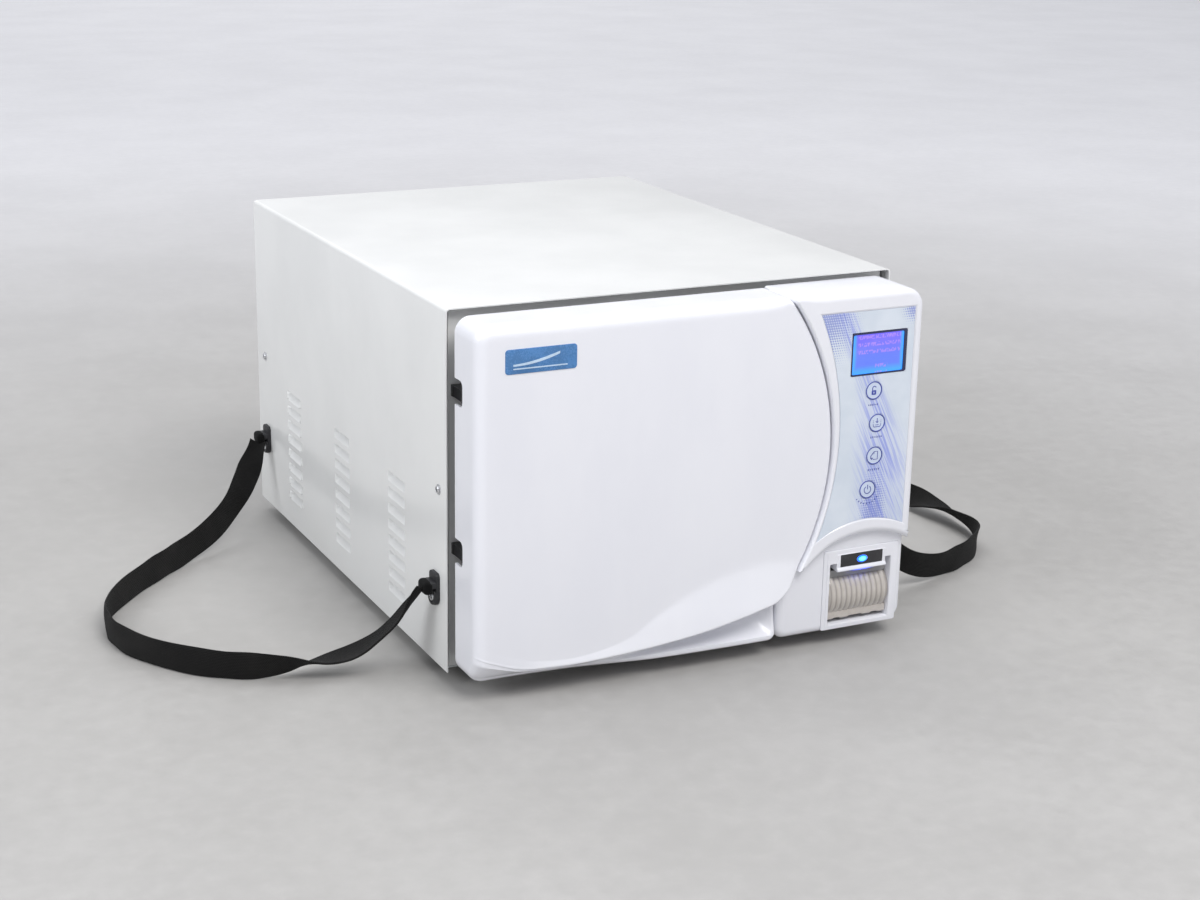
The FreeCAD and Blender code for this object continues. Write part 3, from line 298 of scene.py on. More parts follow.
def webbing():
    """Woven black webbing: weft ribs across it, warp yarns along it, worn patches."""
    finish = Finish("black_webbing", sheen_weight=0.04, sheen_roughness=0.5, specular_ior_level=0.22)
    run, across, _ = axes(new_node(finish.tree, "Attribute", "Vector", {}, attribute_name="run_and_width"))
    warp = stripe(across, 0.0016)
    weft = stripe(run + ramp(stripe(across, 0.0032), 0.24, 0.26) * 0.0011, 0.0022)
    weave = ramp(warp, 0.5, 0.05) * ramp(weft, 0.5, 0.1)
    fuzz, worn = finish.grain(900.0), ramp(finish.grain(26.0, 4.0), 0.45, 0.75)
    dark = mix(weave, (0.002, 0.002, 0.0022), (0.010, 0.0095, 0.009))
    finish.colour(worn * 0.35, dark, (0.018, 0.017, 0.016))
    finish.feed("Roughness", ramp(weave * 0.7 + fuzz * 0.3, 0.0, 1.0, 0.92, 0.68))
    finish.bump(weave + fuzz * 0.25, 0.8, 0.0006)
    return finish.made


def smoky():
    """Tinted see-through moulding: paler along its ribs with painted shade in the grooves between them,
    greyer on its flat top.
    """
    finish = Finish("smoky_plastic", coat_weight=0.4, coat_roughness=0.08, ior=1.45,
                    transmission_weight=0.12)
    z = axes(finish.place())[2]
    between_ribs = stripe(finish.from_centre("printer_cover")[0], 0.0062)
    # painted shade darkens the grooves between the ribs
    groove_shade = ramp(between_ribs, 0.22, 0.06) * ramp(z, 0.033, 0.040)
    fine = finish.grain(160.0)
    body = mix(mid(fine), (0.62, 0.575, 0.53), (0.66, 0.615, 0.57))
    ribbed = mix(groove_shade * 0.6, body, (0.30, 0.275, 0.255))
    finish.colour(ramp(z, 0.0705, 0.0735), ribbed, (0.34, 0.335, 0.335))
    finish.gloss(fine, 0.16, 0.26)
    finish.bump(fine, 0.05, 0.0002)
    return finish.made


def paper():
    """Thermal paper: seen from the side it shows the edges of its turns."""
    finish = Finish("thermal_paper")
    _, y, z = finish.from_centre("paper_roll")
    turn, fine = stripe(radius_of(y, z), 0.0006), finish.grain(600.0)
    finish.colour(ramp(turn, 0.0, 0.5) * 0.5 + fine * 0.3, (0.86, 0.85, 0.81), (0.68, 0.665, 0.62))
    finish.gloss(fine, 0.62, 0.80)
    finish.bump(fine * 0.4 + turn * 0.5, 0.3, 0.0001)
    return finish.made


def keypad_print():
    """Printed film: pale blue-grey, with periwinkle streaks and halftone dots in a sweep."""
    finish = Finish("keypad_print", coat_weight=0.2, coat_roughness=0.2)
    x, _, z = axes(finish.place())
    across, up = finish.shares("keypad_sheet")
    # the sweep starts at the upper left corner, runs down to the keys and on to the foot
    down = maths("SUBTRACT", 1.0, up)
    off = size_of(across - (down * 1.25 - down * down * 0.75 + 0.22))
    sweep = ramp(off / ramp(up, 0.75, 0.30, 0.17, 0.40), 1.0, 0.15)
    streak = ramp(finish.grain(1.0, 2.0, vector=finish.slanted(430.0, 17.0, 0.47)), 0.44, 0.62)
    thin = ramp(stripe(x * 0.80 + z * 0.36, 0.0031), 0.34, 0.46)
    corner = ramp(radius_of(across - 0.05, up - 1.0, tall=2.2), 0.48, 0.05)
    tip = ramp(radius_of(across - 1.0, up - 1.0, tall=4.0), 0.20, 0.03)
    foot = ramp(up, 0.40, 0.10) * ramp(size_of(across - 0.66), 0.20, 0.04)
    dotted = highest(corner, tip, foot)
    dot_pitch = 0.0026
    reach = radius_of(stripe(x + z * 0.35, dot_pitch), stripe(z, dot_pitch))
    dots = ramp(reach - dotted * 0.52, 0.04, -0.04) * ramp(dotted, 0.02, 0.12)
    base = mix(mid(finish.grain(22.0)), (0.66, 0.73, 0.82), (0.74, 0.80, 0.88))
    swept = mix(sweep * (streak * 0.62 + 0.22), base, (0.27, 0.33, 0.80))
    lined = mix(sweep * thin * 0.22, swept, (0.80, 0.86, 0.97))
    finish.colour(dots * 0.75, lined, (0.20, 0.25, 0.66))
    fine = finish.grain(900.0, 2.0)
    finish.gloss(fine, 0.30, 0.40)
    finish.bump(fine, 0.08, 0.0001)
    return finish.made


def lit_screen():
    """Blue display with rows of blocky marks, brighter towards its lit edges."""
    finish = Finish("screen_glass", roughness=0.12, coat_weight=0.6, coat_roughness=0.04,
                    emission_strength=1.0)
    across, up = finish.shares("screen_bezel")
    edge = highest(ramp(across, 0.11, 0.035), ramp(up, 0.26, 0.05), ramp(across, 0.86, 0.93))
    shade = mix(ramp(up, 0.35, 0.9), (0.085, 0.150, 0.95), (0.130, 0.105, 0.80))
    glow = mix(edge, shade, (0.035, 0.300, 0.96))
    line = ramp(stripe(up + 0.055, 0.17), 0.30, 0.22)
    block = ramp(finish.grain(1.0, 0.0, vector=finish.slanted(520.0, 300.0, 0.0)), 0.46, 0.52)
    kept = ramp(up, 0.44, 0.50) + ramp(up, 0.34, 0.30) * ramp(size_of(across - 0.55), 0.12, 0.10)
    inside = ramp(size_of(across - 0.5), 0.40, 0.37)
    colour = mix(line * block * kept * inside * 0.55, glow, (0.36, 0.20, 0.74))
    finish.colour(0.5, colour, (0.02, 0.02, 0.08))
    finish.feed("Emission Color", colour)
    return finish.made


def lamp(name, weights, reach, outer, inner, **sockets):
    """Light round the printer button that fades away from its middle."""
    finish = Finish(name, **sockets)
    x, _, z = finish.from_centre("printer_button")
    colour = mix(ramp(radius_of(x, z, *weights), *reach), outer, inner)
    finish.feed("Base Color", colour)
    finish.feed("Emission Color", colour)
    return finish.made


MATERIALS = {
    "white_powder_coat": powder_coat(),
    "gloss_white_plastic": gloss_white(),
    "stainless_steel": brushed("stainless_steel", (0.66, 0.66, 0.67), (0.20, 0.34), (1, 0.06, 1)),
    "galvanised_steel": galvanised(),
    "black_painted_steel": plain("black_painted_steel", (0.020, 0.020, 0.022), (0.30, 0.42), 0.2,
                                 texture=600, strength=0.2, coat_weight=0.2),
    "aluminium": cast_metal("aluminium", (0.62, 0.63, 0.65), (0.42, 0.60)),
    "brass": cast_metal("brass", (0.72, 0.50, 0.20), (0.25, 0.42)),
    "black_rubber": plain("black_rubber", (0.018, 0.018, 0.019), (0.72, 0.90), 0.25, texture=520,
                          strength=0.35),
    "silicone_seal": plain("silicone_seal", (0.50, 0.51, 0.52), (0.42, 0.56), subsurface_weight=0.1),
    "black_plastic": plain("black_plastic", (0.018, 0.018, 0.021), (0.40, 0.56), 0.25, texture=900,
                           strength=0.3),
    "grey_plastic": plain("grey_plastic", (0.16, 0.165, 0.175), (0.42, 0.55), 0.08, texture=900,
                          strength=0.25),
    "keypad_print": keypad_print(),
    "screen_glass": lit_screen(),
    "navy_bezel": plain("navy_bezel", (0.012, 0.016, 0.075), (0.16, 0.26), 0.2, coat_weight=0.4),
    "smoky_plastic": smoky(),
    "blue_lamp": lamp("blue_lamp", (0.5, 1.6), (0.0042, 0.0012), (0.01, 0.10, 0.75), (0.12, 0.80, 1.0),
                      roughness=0.15, coat_weight=0.5, emission_strength=2.2),
    "thermal_paper": paper(),
    "circuit_board": circuit_board(),
    "lagging_fibre": lagging(),
    "black_webbing": webbing(),
    "tank_plastic": tank_plastic(),
}
GLOW = lamp("blue_glow", (1, 0), (0.013, 0.002), (0.0, 0.01, 0.10), (0.03, 0.08, 1.0), roughness=0.4,
            emission_strength=5.0)
BADGE = plain("badge_blue", (0.060, 0.205, 0.470), (0.22, 0.32), 0.18, 40, coat_weight=0.4)
INK = plain("printed_ink", (0.045, 0.065, 0.36), (0.35, 0.5), 0.15, 60)
KEY_FACE = plain("key_face", (0.62, 0.70, 0.86), (0.26, 0.36), 0.04, 60)
ZINC = brushed("bright_zinc", (0.70, 0.71, 0.73), (0.22, 0.36), (1, 1, 0.2))
GLOSS_BLACK = plain("gloss_black", (0.014, 0.014, 0.018), (0.10, 0.20), 0.2, 50, coat_weight=0.5)
PALE_LINE = plain("pale_ink", (0.55, 0.70, 0.86), (0.25, 0.35), 0.08, 40)


# ---------------------------------------------------------------- mesh helpers

def quarter(i, steps):
    """Angle of step i of a quarter turn."""
    return math.pi / 2 * i / steps


def around(axis):
    """The axis at length 1, and two directions square to it."""
    axis = Vector(axis).normalized()
    side = axis.orthogonal().normalized()
    return axis, side, axis.cross(side)


class Shape:
    """Grows one mesh out of simple parts, in millimetres."""

    def __init__(self):
        self.verts, self.faces, self.slots = [], [], []

    def add(self, verts, faces, slot=0):
        first = len(self.verts)
        self.verts += [Vector(v) for v in verts]
        self.faces += [[first + i for i in face] for face in faces]
        self.slots += [slot] * len(faces)
        return self

    def grid(self, rows, slot=0, wrap=False, keep=None):
        """Quads over rows of points; wrap joins the last point of each row to the first."""
        wide = len(rows[0])
        faces = []
        for j in range(len(rows) - 1):
            for i in range(wide if wrap else wide - 1):
                if keep is None or keep(i, j):
                    k = (i + 1) % wide
                    faces.append([j * wide + i, j * wide + k, (j + 1) * wide + k, (j + 1) * wide + i])
        return self.add([p for row in rows for p in row], faces, slot)

    def loft(self, rings, slot=0, caps=True):
        """Closed rings joined one to the next, with flat ends."""
        self.grid(rings, slot, wrap=True)
        if caps:
            wide = len(rings[0])
            first = len(self.verts) - wide * len(rings)
            last = len(self.verts) - wide
            self.faces += [[first + i for i in reversed(range(wide))], [last + i for i in range(wide)]]
            self.slots += [slot, slot]
        return self

    def turned(self, base, axis, profile, sides=32, slot=0, caps=True):
        """Lathe: the profile lists (distance along the axis, radius)."""
        axis, side, other = around(axis)
        rings = []
        for level, radius in profile:
            middle = Vector(base) + axis * level
            rings.append([middle + side * radius * math.cos(2 * math.pi * i / sides)
                          + other * radius * math.sin(2 * math.pi * i / sides) for i in range(sides)])
        return self.loft(rings, slot, caps)

    def soft_box(self, low, high, radius, steps=3):
        """Box with rounded edges."""
        low, high = Vector(low), Vector(high)
        made = bmesh.new()
        bmesh.ops.create_cube(made, size=1.0)
        for vert in made.verts:
            vert.co = Vector(a + (b - a) * (c + 0.5) for a, b, c in zip(low, high, vert.co))
        if radius:
            bmesh.ops.bevel(made, geom=made.edges[:], offset=radius, segments=steps, profile=0.5,
                            affect="EDGES", clamp_overlap=True)
        made.verts.index_update()
        self.add([v.co.copy() for v in made.verts], [[v.index for v in f.verts] for f in made.faces])
        made.free()
        return self

    def plate(self, outline, near, far, round_by, slot=0, steps=4):
        """Front-view outline (x, z) made solid from y=far to y=near, its front edge rounded.

        round_by is one radius, or a radius for each point of the outline.
        """
        radii = round_by if isinstance(round_by, list) else [round_by] * len(outline)
        rings = [[(x, far, z) for x, z in outline]]
        for i in range(steps + 1):
            turn = quarter(i, steps)
            inner = shrunk(outline, [radius * (1 - math.cos(turn)) for radius in radii])
            rings.append([(x, near + radius * (1 - math.sin(turn)), z)
                          for (x, z), radius in zip(inner, radii)])
        if max(radii) > 2:
            rings.append([(x, near, z) for x, z in shrunk(outline, [radius + 0.3 for radius in radii])])
        return self.loft(rings, slot)


def shrunk(outline, inset):
    """Outline (anticlockwise) moved inward along its corner bisectors."""
    count = len(outline)
    insets = inset if isinstance(inset, list) else [inset] * count
    made = []
    for i, point in enumerate(outline):
        before, here, after = Vector(outline[i - 1]), Vector(point), Vector(outline[(i + 1) % count])
        one, two = (here - before).normalized(), (after - here).normalized()
        bisector = Vector((-one.y, one.x)) + Vector((-two.y, two.x))
        made.append(tuple(here + bisector * insets[i] * 2 / max(bisector.length_squared, 0.5)))
    return made


def arc(x, z, radius, start, end, steps):
    """Points on a circle between two angles in degrees."""
    turns = [math.radians(start + (end - start) * i / steps) for i in range(steps + 1)]
    return [(x + radius * math.cos(turn), z + radius * math.sin(turn)) for turn in turns]


def oval(x, z, wide, tall):
    """Anticlockwise oval of half width wide and half height tall."""
    turns = [2 * math.pi * i / 40 for i in range(40)]
    return [(x + wide * math.cos(turn), z + tall * math.sin(turn)) for turn in turns]


def rounded(left, low, right, high, radius, steps=6):
    """Anticlockwise rounded rectangle."""
    return (arc(right - radius, low + radius, radius, -90, 0, steps)
            + arc(right - radius, high - radius, radius, 0, 90, steps)
            + arc(left + radius, high - radius, radius, 90, 180, steps)
            + arc(left + radius, low + radius, radius, 180, 270, steps))


def framed(node, left, low, right, high, radius):
    """Front view of a CAD node with each side moved inward, and round corners."""
    near, far = mm_box(node)
    return rounded(near.x + left, near.z + low, far.x - right, far.z - high, radius)


def slab(*levels):
    """Closed solid through front-view outlines, each with its depth."""
    return Shape().loft([[(x, y, z) for x, z in outline] for y, outline in levels])


def settle(obj, sharp=32.0):
    """Applies the modifiers and shades by angle."""
    if obj.modifiers:
        solved = bpy.data.meshes.new_from_object(obj.evaluated_get(bpy.context.evaluated_depsgraph_get()))
        obj.modifiers.clear()
        old, obj.data = obj.data, solved
        bpy.data.meshes.remove(old)
    obj.data.shade_smooth()
    obj.data.set_sharp_from_angle(angle=math.radians(sharp))


def linked(name, data):
    """A new object in the scene."""
    obj = bpy.data.objects.new(name, data)
    bpy.context.scene.collection.objects.link(obj)
    return obj


def discard(obj):
    """Removes a mesh object that has done its work."""
    old = obj.data
    bpy.data.objects.remove(obj)
    bpy.data.meshes.remove(old)


def loose(name, shape, mats):
    """A new object from a Shape, in metres, its faces pointing outward."""
    mesh = bpy.data.meshes.new(name)
    mesh.from_pydata([tuple(c * MM for c in v) for v in shape.verts], [], shape.faces)
    for made in mats:
        mesh.materials.append(made)
    mesh.polygons.foreach_set("material_index", shape.slots)
    work = bmesh.new()
    work.from_mesh(mesh)
    bmesh.ops.remove_doubles(work, verts=work.verts, dist=2e-6)
    bmesh.ops.recalc_face_normals(work, faces=work.faces)
    work.to_mesh(mesh)
    work.free()
    return linked(name, mesh)


def thicken(obj, gauge):
    """Gives a sheet its thickness, inward from its outer face."""
    skin = obj.modifiers.new("skin", "SOLIDIFY")
    skin.thickness, skin.offset, skin.use_even_offset = gauge * MM, -1.0, True


def carve(obj, added, cutters):
    """Joins shapes to a piece and cuts others out of it."""
    tools = []
    for operation, shapes in (("UNION", added), ("DIFFERENCE", cutters)):
        for shape in shapes:
            tool = loose(f"{obj.name}_tool_{len(tools)}", shape, [])
            step = obj.modifiers.new("carve", "BOOLEAN")
            step.operation, step.solver, step.object = operation, "EXACT", tool
            tools.append(tool)
    if tools:
        settle(obj)
    for tool in tools:
        discard(tool)


def piece(name, shape, body, slot, stands_for=None, mats=None, sharp=32.0, gauge=0.0, added=(), cutters=()):
    """A finished piece on a CAD body, of its slot's material unless others are given."""
    obj = loose(name, shape, mats or [MATERIALS[slot]])
    if gauge:
        thicken(obj, gauge)
    carve(obj, added, cutters)
    settle(obj, sharp)
    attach(obj, body)
    if stands_for:
        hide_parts(stands_for)
    return obj


def smooth_step(value, start, end):
    t = min(1.0, max(0.0, (value - start) / (end - start)))
    return t * t * (3 - 2 * t)


def along(stations, at):
    """Values between stations whose first number is the position, joined smoothly."""
    if at <= stations[0][0]:
        return stations[0][1:]
    for i, (here, there) in enumerate(zip(stations, stations[1:])):
        if at <= there[0]:
            before, after = stations[max(i - 1, 0)], stations[min(i + 2, len(stations) - 1)]
            span = there[0] - here[0]
            t = (at - here[0]) / span
            out = []
            for a, b, c, d in zip(before[1:], here[1:], there[1:], after[1:]):
                slope_b = (c - a) / max(there[0] - before[0], 1e-9) * span
                slope_c = (d - b) / max(after[0] - here[0], 1e-9) * span
                out.append((2 * t ** 3 - 3 * t ** 2 + 1) * b + (t ** 3 - 2 * t ** 2 + t) * slope_b
                           + (3 * t ** 2 - 2 * t ** 3) * c + (t ** 3 - t ** 2) * slope_c)
            return out
    return stations[-1][1:]


# ---------------------------------------------------------------- camera, stage and lights

def set_camera():
    """The photograph's view: bearing, downward tilt and roll in degrees, place in metres."""
    bearing, tilt, roll = (math.radians(angle) for angle in (-26.3938, 17.0746, 1.0698))
    place = (-0.9724, -2.0627, 0.8407)
    level = Vector((math.cos(bearing), math.sin(bearing), 0))
    onward = Vector((-math.sin(bearing), math.cos(bearing), 0))
    ahead = onward * math.cos(tilt) - Vector((0, 0, math.sin(tilt)))
    above = level.cross(ahead)
    right = level * math.cos(roll) + above * math.sin(roll)
    top = above * math.cos(roll) - level * math.sin(roll)
    data = bpy.data.cameras.new("camera")
    data.lens, data.sensor_width, data.clip_end = 62.7, 36.0, 200.0
    obj = linked("camera", data)
    obj.matrix_world = Matrix.Translation(place) @ Matrix((right, top, -ahead)).transposed().to_4x4()
    bpy.context.scene.camera = obj


def floor_material():
    """Studio floor with soft mottling, darker near the object and paler far away: painted shade near the
    object and painted light far away.
    """
    finish = Finish("studio_floor")
    x, y, _ = axes(finish.place())
    mottle, fine = finish.grain(3.2, 6.0, rough=0.6), finish.grain(46.0, 5.0, rough=0.65)
    tone = mid(mottle * 0.55 + fine * 0.45)
    near = mix(tone, (0.378, 0.369, 0.356), (0.446, 0.437, 0.424))
    far = mix(tone, (0.800, 0.795, 0.815), (0.870, 0.865, 0.885))
    # painted shade near the object, fading out to painted light far away
    finish.colour(ramp(radius_of(x, y), 0.4, 3.5), near, far)
    finish.gloss(fine, 0.55, 0.75)
    finish.bump(fine, 0.15, 0.0006)
    return finish.made


def stage():
    """Floor disc, wide enough for every view."""
    work = bmesh.new()
    bmesh.ops.create_circle(work, cap_ends=True, segments=96, radius=60.0)
    mesh = bpy.data.meshes.new("studio_floor")
    work.to_mesh(mesh)
    work.free()
    mesh.materials.append(floor_material())
    floor = linked("studio_floor", mesh)


def soft_light(name, where, towards, size, power, colour=(1, 1, 1)):
    """Round soft lamp; places and size in metres, power in watts."""
    data = bpy.data.lights.new(name, "AREA")
    data.shape, data.size, data.energy, data.color = "DISK", size, power, colour
    obj = linked(name, data)
    obj.location = where
    obj.rotation_euler = (Vector(towards) - Vector(where)).to_track_quat("-Z", "Y").to_euler()


def lights():
    """Soft sky with a pale horizon, and four large lamps."""
    world = bpy.data.worlds.new("studio_air")
    world.use_nodes = True
    tree = world.node_tree
    back = tree.nodes["Background"]
    z = axes(new_node(tree, "TexCoord", "Generated", {}))[2]
    sky = mix(ramp(z, 0.05, 0.85), (0.42, 0.425, 0.44), (0.93, 0.95, 1.0))
    tree.links.new(mix(ramp(z, 0.13, 0.0), sky, (0.74, 0.745, 0.765)).socket, back.inputs["Color"])
    back.inputs["Strength"].default_value = 0.80
    bpy.context.scene.world = world
    soft_light("front_key", (0.3, -2.7, 3.5), (0, -0.1, 0.2), 2.0, 88.0, (1.0, 0.985, 0.97))
    soft_light("overhead", (0.1, 0.8, 3.2), (0, 0, 0.2), 2.4, 21.0)
    soft_light("back_wash", (2.2, 7.5, 4.2), (2.2, 7.6, 0), 6.0, 62.0)
    soft_light("left_fill", (-3.4, -0.6, 2.2), (0, 0, 0.2), 2.0, 47.0, (0.96, 0.98, 1.0))


# ---------------------------------------------------------------- carrying straps (the free cords)

# Middle line of each strap in metres, from its front bracket to its rear bracket.
LEFT_ROUTE = [(-0.2645, -0.246, 0.101), (-0.273, -0.239, 0.084), (-0.290, -0.229, 0.056),
              (-0.317, -0.214, 0.028), (-0.352, -0.200, 0.016), (-0.398, -0.193, 0.0155),
              (-0.446, -0.172, 0.0155), (-0.490, -0.128, 0.0155), (-0.520, -0.076, 0.0155),
              (-0.530, -0.026, 0.0155), (-0.520, 0.028, 0.0155), (-0.492, 0.072, 0.0155),
              (-0.446, 0.124, 0.0155), (-0.394, 0.172, 0.016), (-0.345, 0.214, 0.025),
              (-0.308, 0.249, 0.046), (-0.282, 0.276, 0.074), (-0.265, 0.296, 0.098)]
RIGHT_ROUTE = [(0.2645, -0.246, 0.101), (0.274, -0.241, 0.084), (0.296, -0.235, 0.058),
               (0.330, -0.228, 0.032), (0.372, -0.216, 0.017), (0.416, -0.200, 0.0155),
               (0.458, -0.176, 0.0155), (0.490, -0.142, 0.0155), (0.504, -0.098, 0.0155),
               (0.506, -0.046, 0.0155), (0.500, 0.008, 0.0155), (0.486, 0.066, 0.0155),
               (0.452, 0.122, 0.0155), (0.402, 0.172, 0.016), (0.350, 0.214, 0.025),
               (0.310, 0.249, 0.046), (0.282, 0.276, 0.074), (0.265, 0.296, 0.098)]

# Turn of the band about its own line at each point of its route, in degrees from standing on edge.
LEFT_TURN = [-90, -96, -100, -98, -72, -16, 0, 0, 0, 0, 0, 0, -6, -12, -14, -18, -40, -80]
RIGHT_TURN = [90, 70, 42, 20, 8, 0, 0, 0, -35, -72, -130, -165, -180, -180, -190, -200, -225, -265]

# Size in metres, and the places across the band where its section has points, -1 to 1.
STRAP_WIDE, STRAP_THICK = 0.030, 0.0022
STRAP_ACROSS = [-1.0, -0.965, -0.72, -0.36, 0.0, 0.36, 0.72, 0.965, 1.0]


def route_line(name, route):
    """Points along the smooth curve that the route controls."""
    data = bpy.data.curves.new(name, "CURVE")
    data.dimensions = "3D"
    spline = data.splines.new("NURBS")
    spline.points.add(len(route) - 1)
    for point, where in zip(spline.points, route):
        point.co = (*where, 1)
    spline.order_u, spline.use_endpoint_u, spline.resolution_u = 3, True, 12
    obj = linked(name, data)
    mesh = bpy.data.meshes.new_from_object(obj.evaluated_get(bpy.context.evaluated_depsgraph_get()))
    line = [v.co.copy() for v in mesh.vertices]
    bpy.data.objects.remove(obj)
    bpy.data.curves.remove(data)
    bpy.data.meshes.remove(mesh)
    return line


def strap(name, route, turns):
    """Webbing band that follows its route, turned about it, a little cupped and gathered at its ends."""
    line = route_line(name + "_line", route)
    runs = [0.0]
    for before, here in zip(line, line[1:]):
        runs.append(runs[-1] + (here - before).length)
    length = runs[-1]
    stations = list(enumerate(turns))
    rings, marks = [], []
    for i, (here, run) in enumerate(zip(line, runs)):
        ahead = (line[min(i + 1, len(line) - 1)] - line[max(i - 1, 0)]).normalized()
        up = (Vector((0, 0, 1)) - ahead * ahead.z).normalized()
        turn = along(stations, i / (len(line) - 1) * (len(turns) - 1))[0]
        wide = Matrix.Rotation(math.radians(turn), 3, ahead) @ up
        face = ahead.cross(wide)
        from_end = min(run, length - run)
        half = STRAP_WIDE / 2 * (0.66 + 0.34 * smooth_step(from_end, 0.004, 0.045))
        cup = 0.0016 + 0.0035 * (1 - smooth_step(from_end, 0.0, 0.05))
        ripple = 0.0007 * math.sin(run * 95 + 1.3 * math.sin(run * 31))
        ring = []
        for side, order in ((1, STRAP_ACROSS), (-1, STRAP_ACROSS[::-1])):
            for w in order:
                thick = STRAP_THICK / 2 * (0.25 if abs(w) == 1.0 else 1.0)
                bow = cup * (w * w - 0.4) + ripple * w
                ring.append((here + wide * half * w + face * (bow + side * thick)) / MM)
                marks += [run, w * STRAP_WIDE / 2, 0.0]
        rings.append(ring)
    obj = loose(name + "_webbing", Shape().loft(rings), [MATERIALS["black_webbing"]])
    attribute = obj.data.attributes.new("run_and_width", "FLOAT_VECTOR", "POINT")
    attribute.data.foreach_set("vector", marks)
    settle(obj, 50)
    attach(obj, "case")
    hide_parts(name)


set_camera()
stage()
bpy.context.scene.view_settings.view_transform = "Standard"
lights()
strap("left_strap", LEFT_ROUTE, LEFT_TURN)
strap("right_strap", RIGHT_ROUTE, RIGHT_TURN)


# ---------------------------------------------------------------- finish on the CAD nodes that stay

for part in frame["record"]["subparts"]:
    node_object = frame["nodes"][part["node"]]
    node_finish = MATERIALS[part["material_slot"]]
    if not node_object.data.materials:
        node_object.data.materials.append(node_finish)
    for material_slot in node_object.material_slots:
        material_slot.link = "OBJECT"
        material_slot.material = node_finish


# ---------------------------------------------------------------- case

case_low, case_high = mm_box("outer_cover")
WALLS = ((-1, case_low.x), (1, case_high.x))  # outward direction and x of each side wall
ANCHORS = ((-246, 93), (303, 95))  # y and z of the strap tabs on each wall
LOUVRE_LONG, LOUVRE_TALL, LOUVRE_DEEP = 48.0, 11.0, 6.0
TO_REAR = (0, 1, 0)
WHITE_SLOT = "gloss_white_plastic"


def cross_screw(shape, centre, axis, radius, high):
    """Pan head with a rounded rim and a cross-shaped recess."""
    axis, side, other = around(axis)
    arm, half = radius * 0.62, radius * 0.16

    def cross(turn):
        c, s = max(abs(math.cos(turn)), 1e-6), max(abs(math.sin(turn)), 1e-6)
        return max(min(arm / c, half / s), min(arm / s, half / c))

    def circle(turn):
        return radius

    rings = []
    turns = [2 * math.pi * i / 48 for i in range(48)]
    for level, size, reach in ((0, 0.98, circle), (0.35, 1, circle), (0.7, 0.93, circle),
                               (0.93, 0.78, circle), (1, 0.66, circle), (1, 1, cross), (0.45, 0.9, cross)):
        middle = Vector(centre) + axis * (high * level)
        rings.append([middle + (side * math.cos(turn) + other * math.sin(turn)) * (reach(turn) * size)
                      for turn in turns])
    shape.loft(rings)


def louvre(x, y, z, inward):
    """Rows of points over one pressed-in louvre, open along its top."""
    patch = []
    for b in range(7):
        up = b / 6
        lean = math.sin(up * math.pi / 2) * 0.35 + up * 0.65
        line = []
        for a in range(15):
            run = a / 14
            end = smooth_step(min(run, 1 - run), 0.0, 0.10)
            line.append((x + inward * LOUVRE_DEEP * lean * end, y + LOUVRE_LONG * run,
                         z + (LOUVRE_TALL - 2.2 * end) * up))
        patch.append(line)
    return patch


def cover_shell():
    """Folded sheet with soft bends and rows of louvres in both sides."""
    (low_x, low_y, low_z), (high_x, high_y, high_z) = case_low, case_high
    bend, pitch = 4.0, 17.5
    rows = [low_z + 31 + pitch * i for i in range(8)]
    starts = [low_y + gap for gap in (114, 282, 448)]
    levels = [low_z] + [z + step for z in rows for step in (0, LOUVRE_TALL)] + [high_z - bend]
    profile = ([(low_x, z) for z in levels] + arc(low_x + bend, high_z - bend, bend, 180, 90, 6)[1:]
               + arc(high_x - bend, high_z - bend, bend, 90, 0, 6)
               + [(high_x, z) for z in reversed(levels)][1:])
    runs = [low_y] + [y + step for y in starts for step in (0, LOUVRE_LONG)] + [high_y]

    def whole(i, j):
        (x, z), (x2, z2) = profile[i], profile[i + 1]
        on_side = x == x2 and any(abs(min(z, z2) - row) < 0.01 for row in rows)
        return not (on_side and any(abs(runs[j] - y) < 0.01 for y in starts))

    shape = Shape().grid([[(x, y, z) for x, z in profile] for y in runs], keep=whole)
    for sign, wall in WALLS:
        for y in starts:
            for z in rows:
                shape.grid(louvre(wall, y, z, -sign))
    piece("cover_shell", shape, "case", "white_powder_coat", "outer_cover", gauge=1.2)


def side_screws():
    """Zinc screws with washers that hold the cover."""
    low, high = mm_box("cover_screws")
    z = centre_of("cover_screws")[2]
    shape = Shape()
    for sign, wall in WALLS:
        for y in (low.y + 3.6, high.y - 3.6):
            shape.turned((wall, y, z), (sign, 0, 0), [(0, 5.4), (0.5, 5.4), (0.7, 5.1)], 40)
            cross_screw(shape, (wall + sign * 0.6, y, z), (sign, 0, 0), 3.9, 2.0)
    piece("cover_screw_heads", shape, "case", "stainless_steel", "cover_screws", [ZINC])


def wall_plate(shape, sign, anchor, outline, near, far, round_by):
    """Plate on a side wall: its (y, z) outline about the anchor, solid between two distances."""
    wall, y, z = anchor
    flat = Shape().plate(outline, -far, -near, round_by)
    shape.add([(wall - sign * v.y, y + v.x, z + v.z) for v in flat.verts], flat.faces)


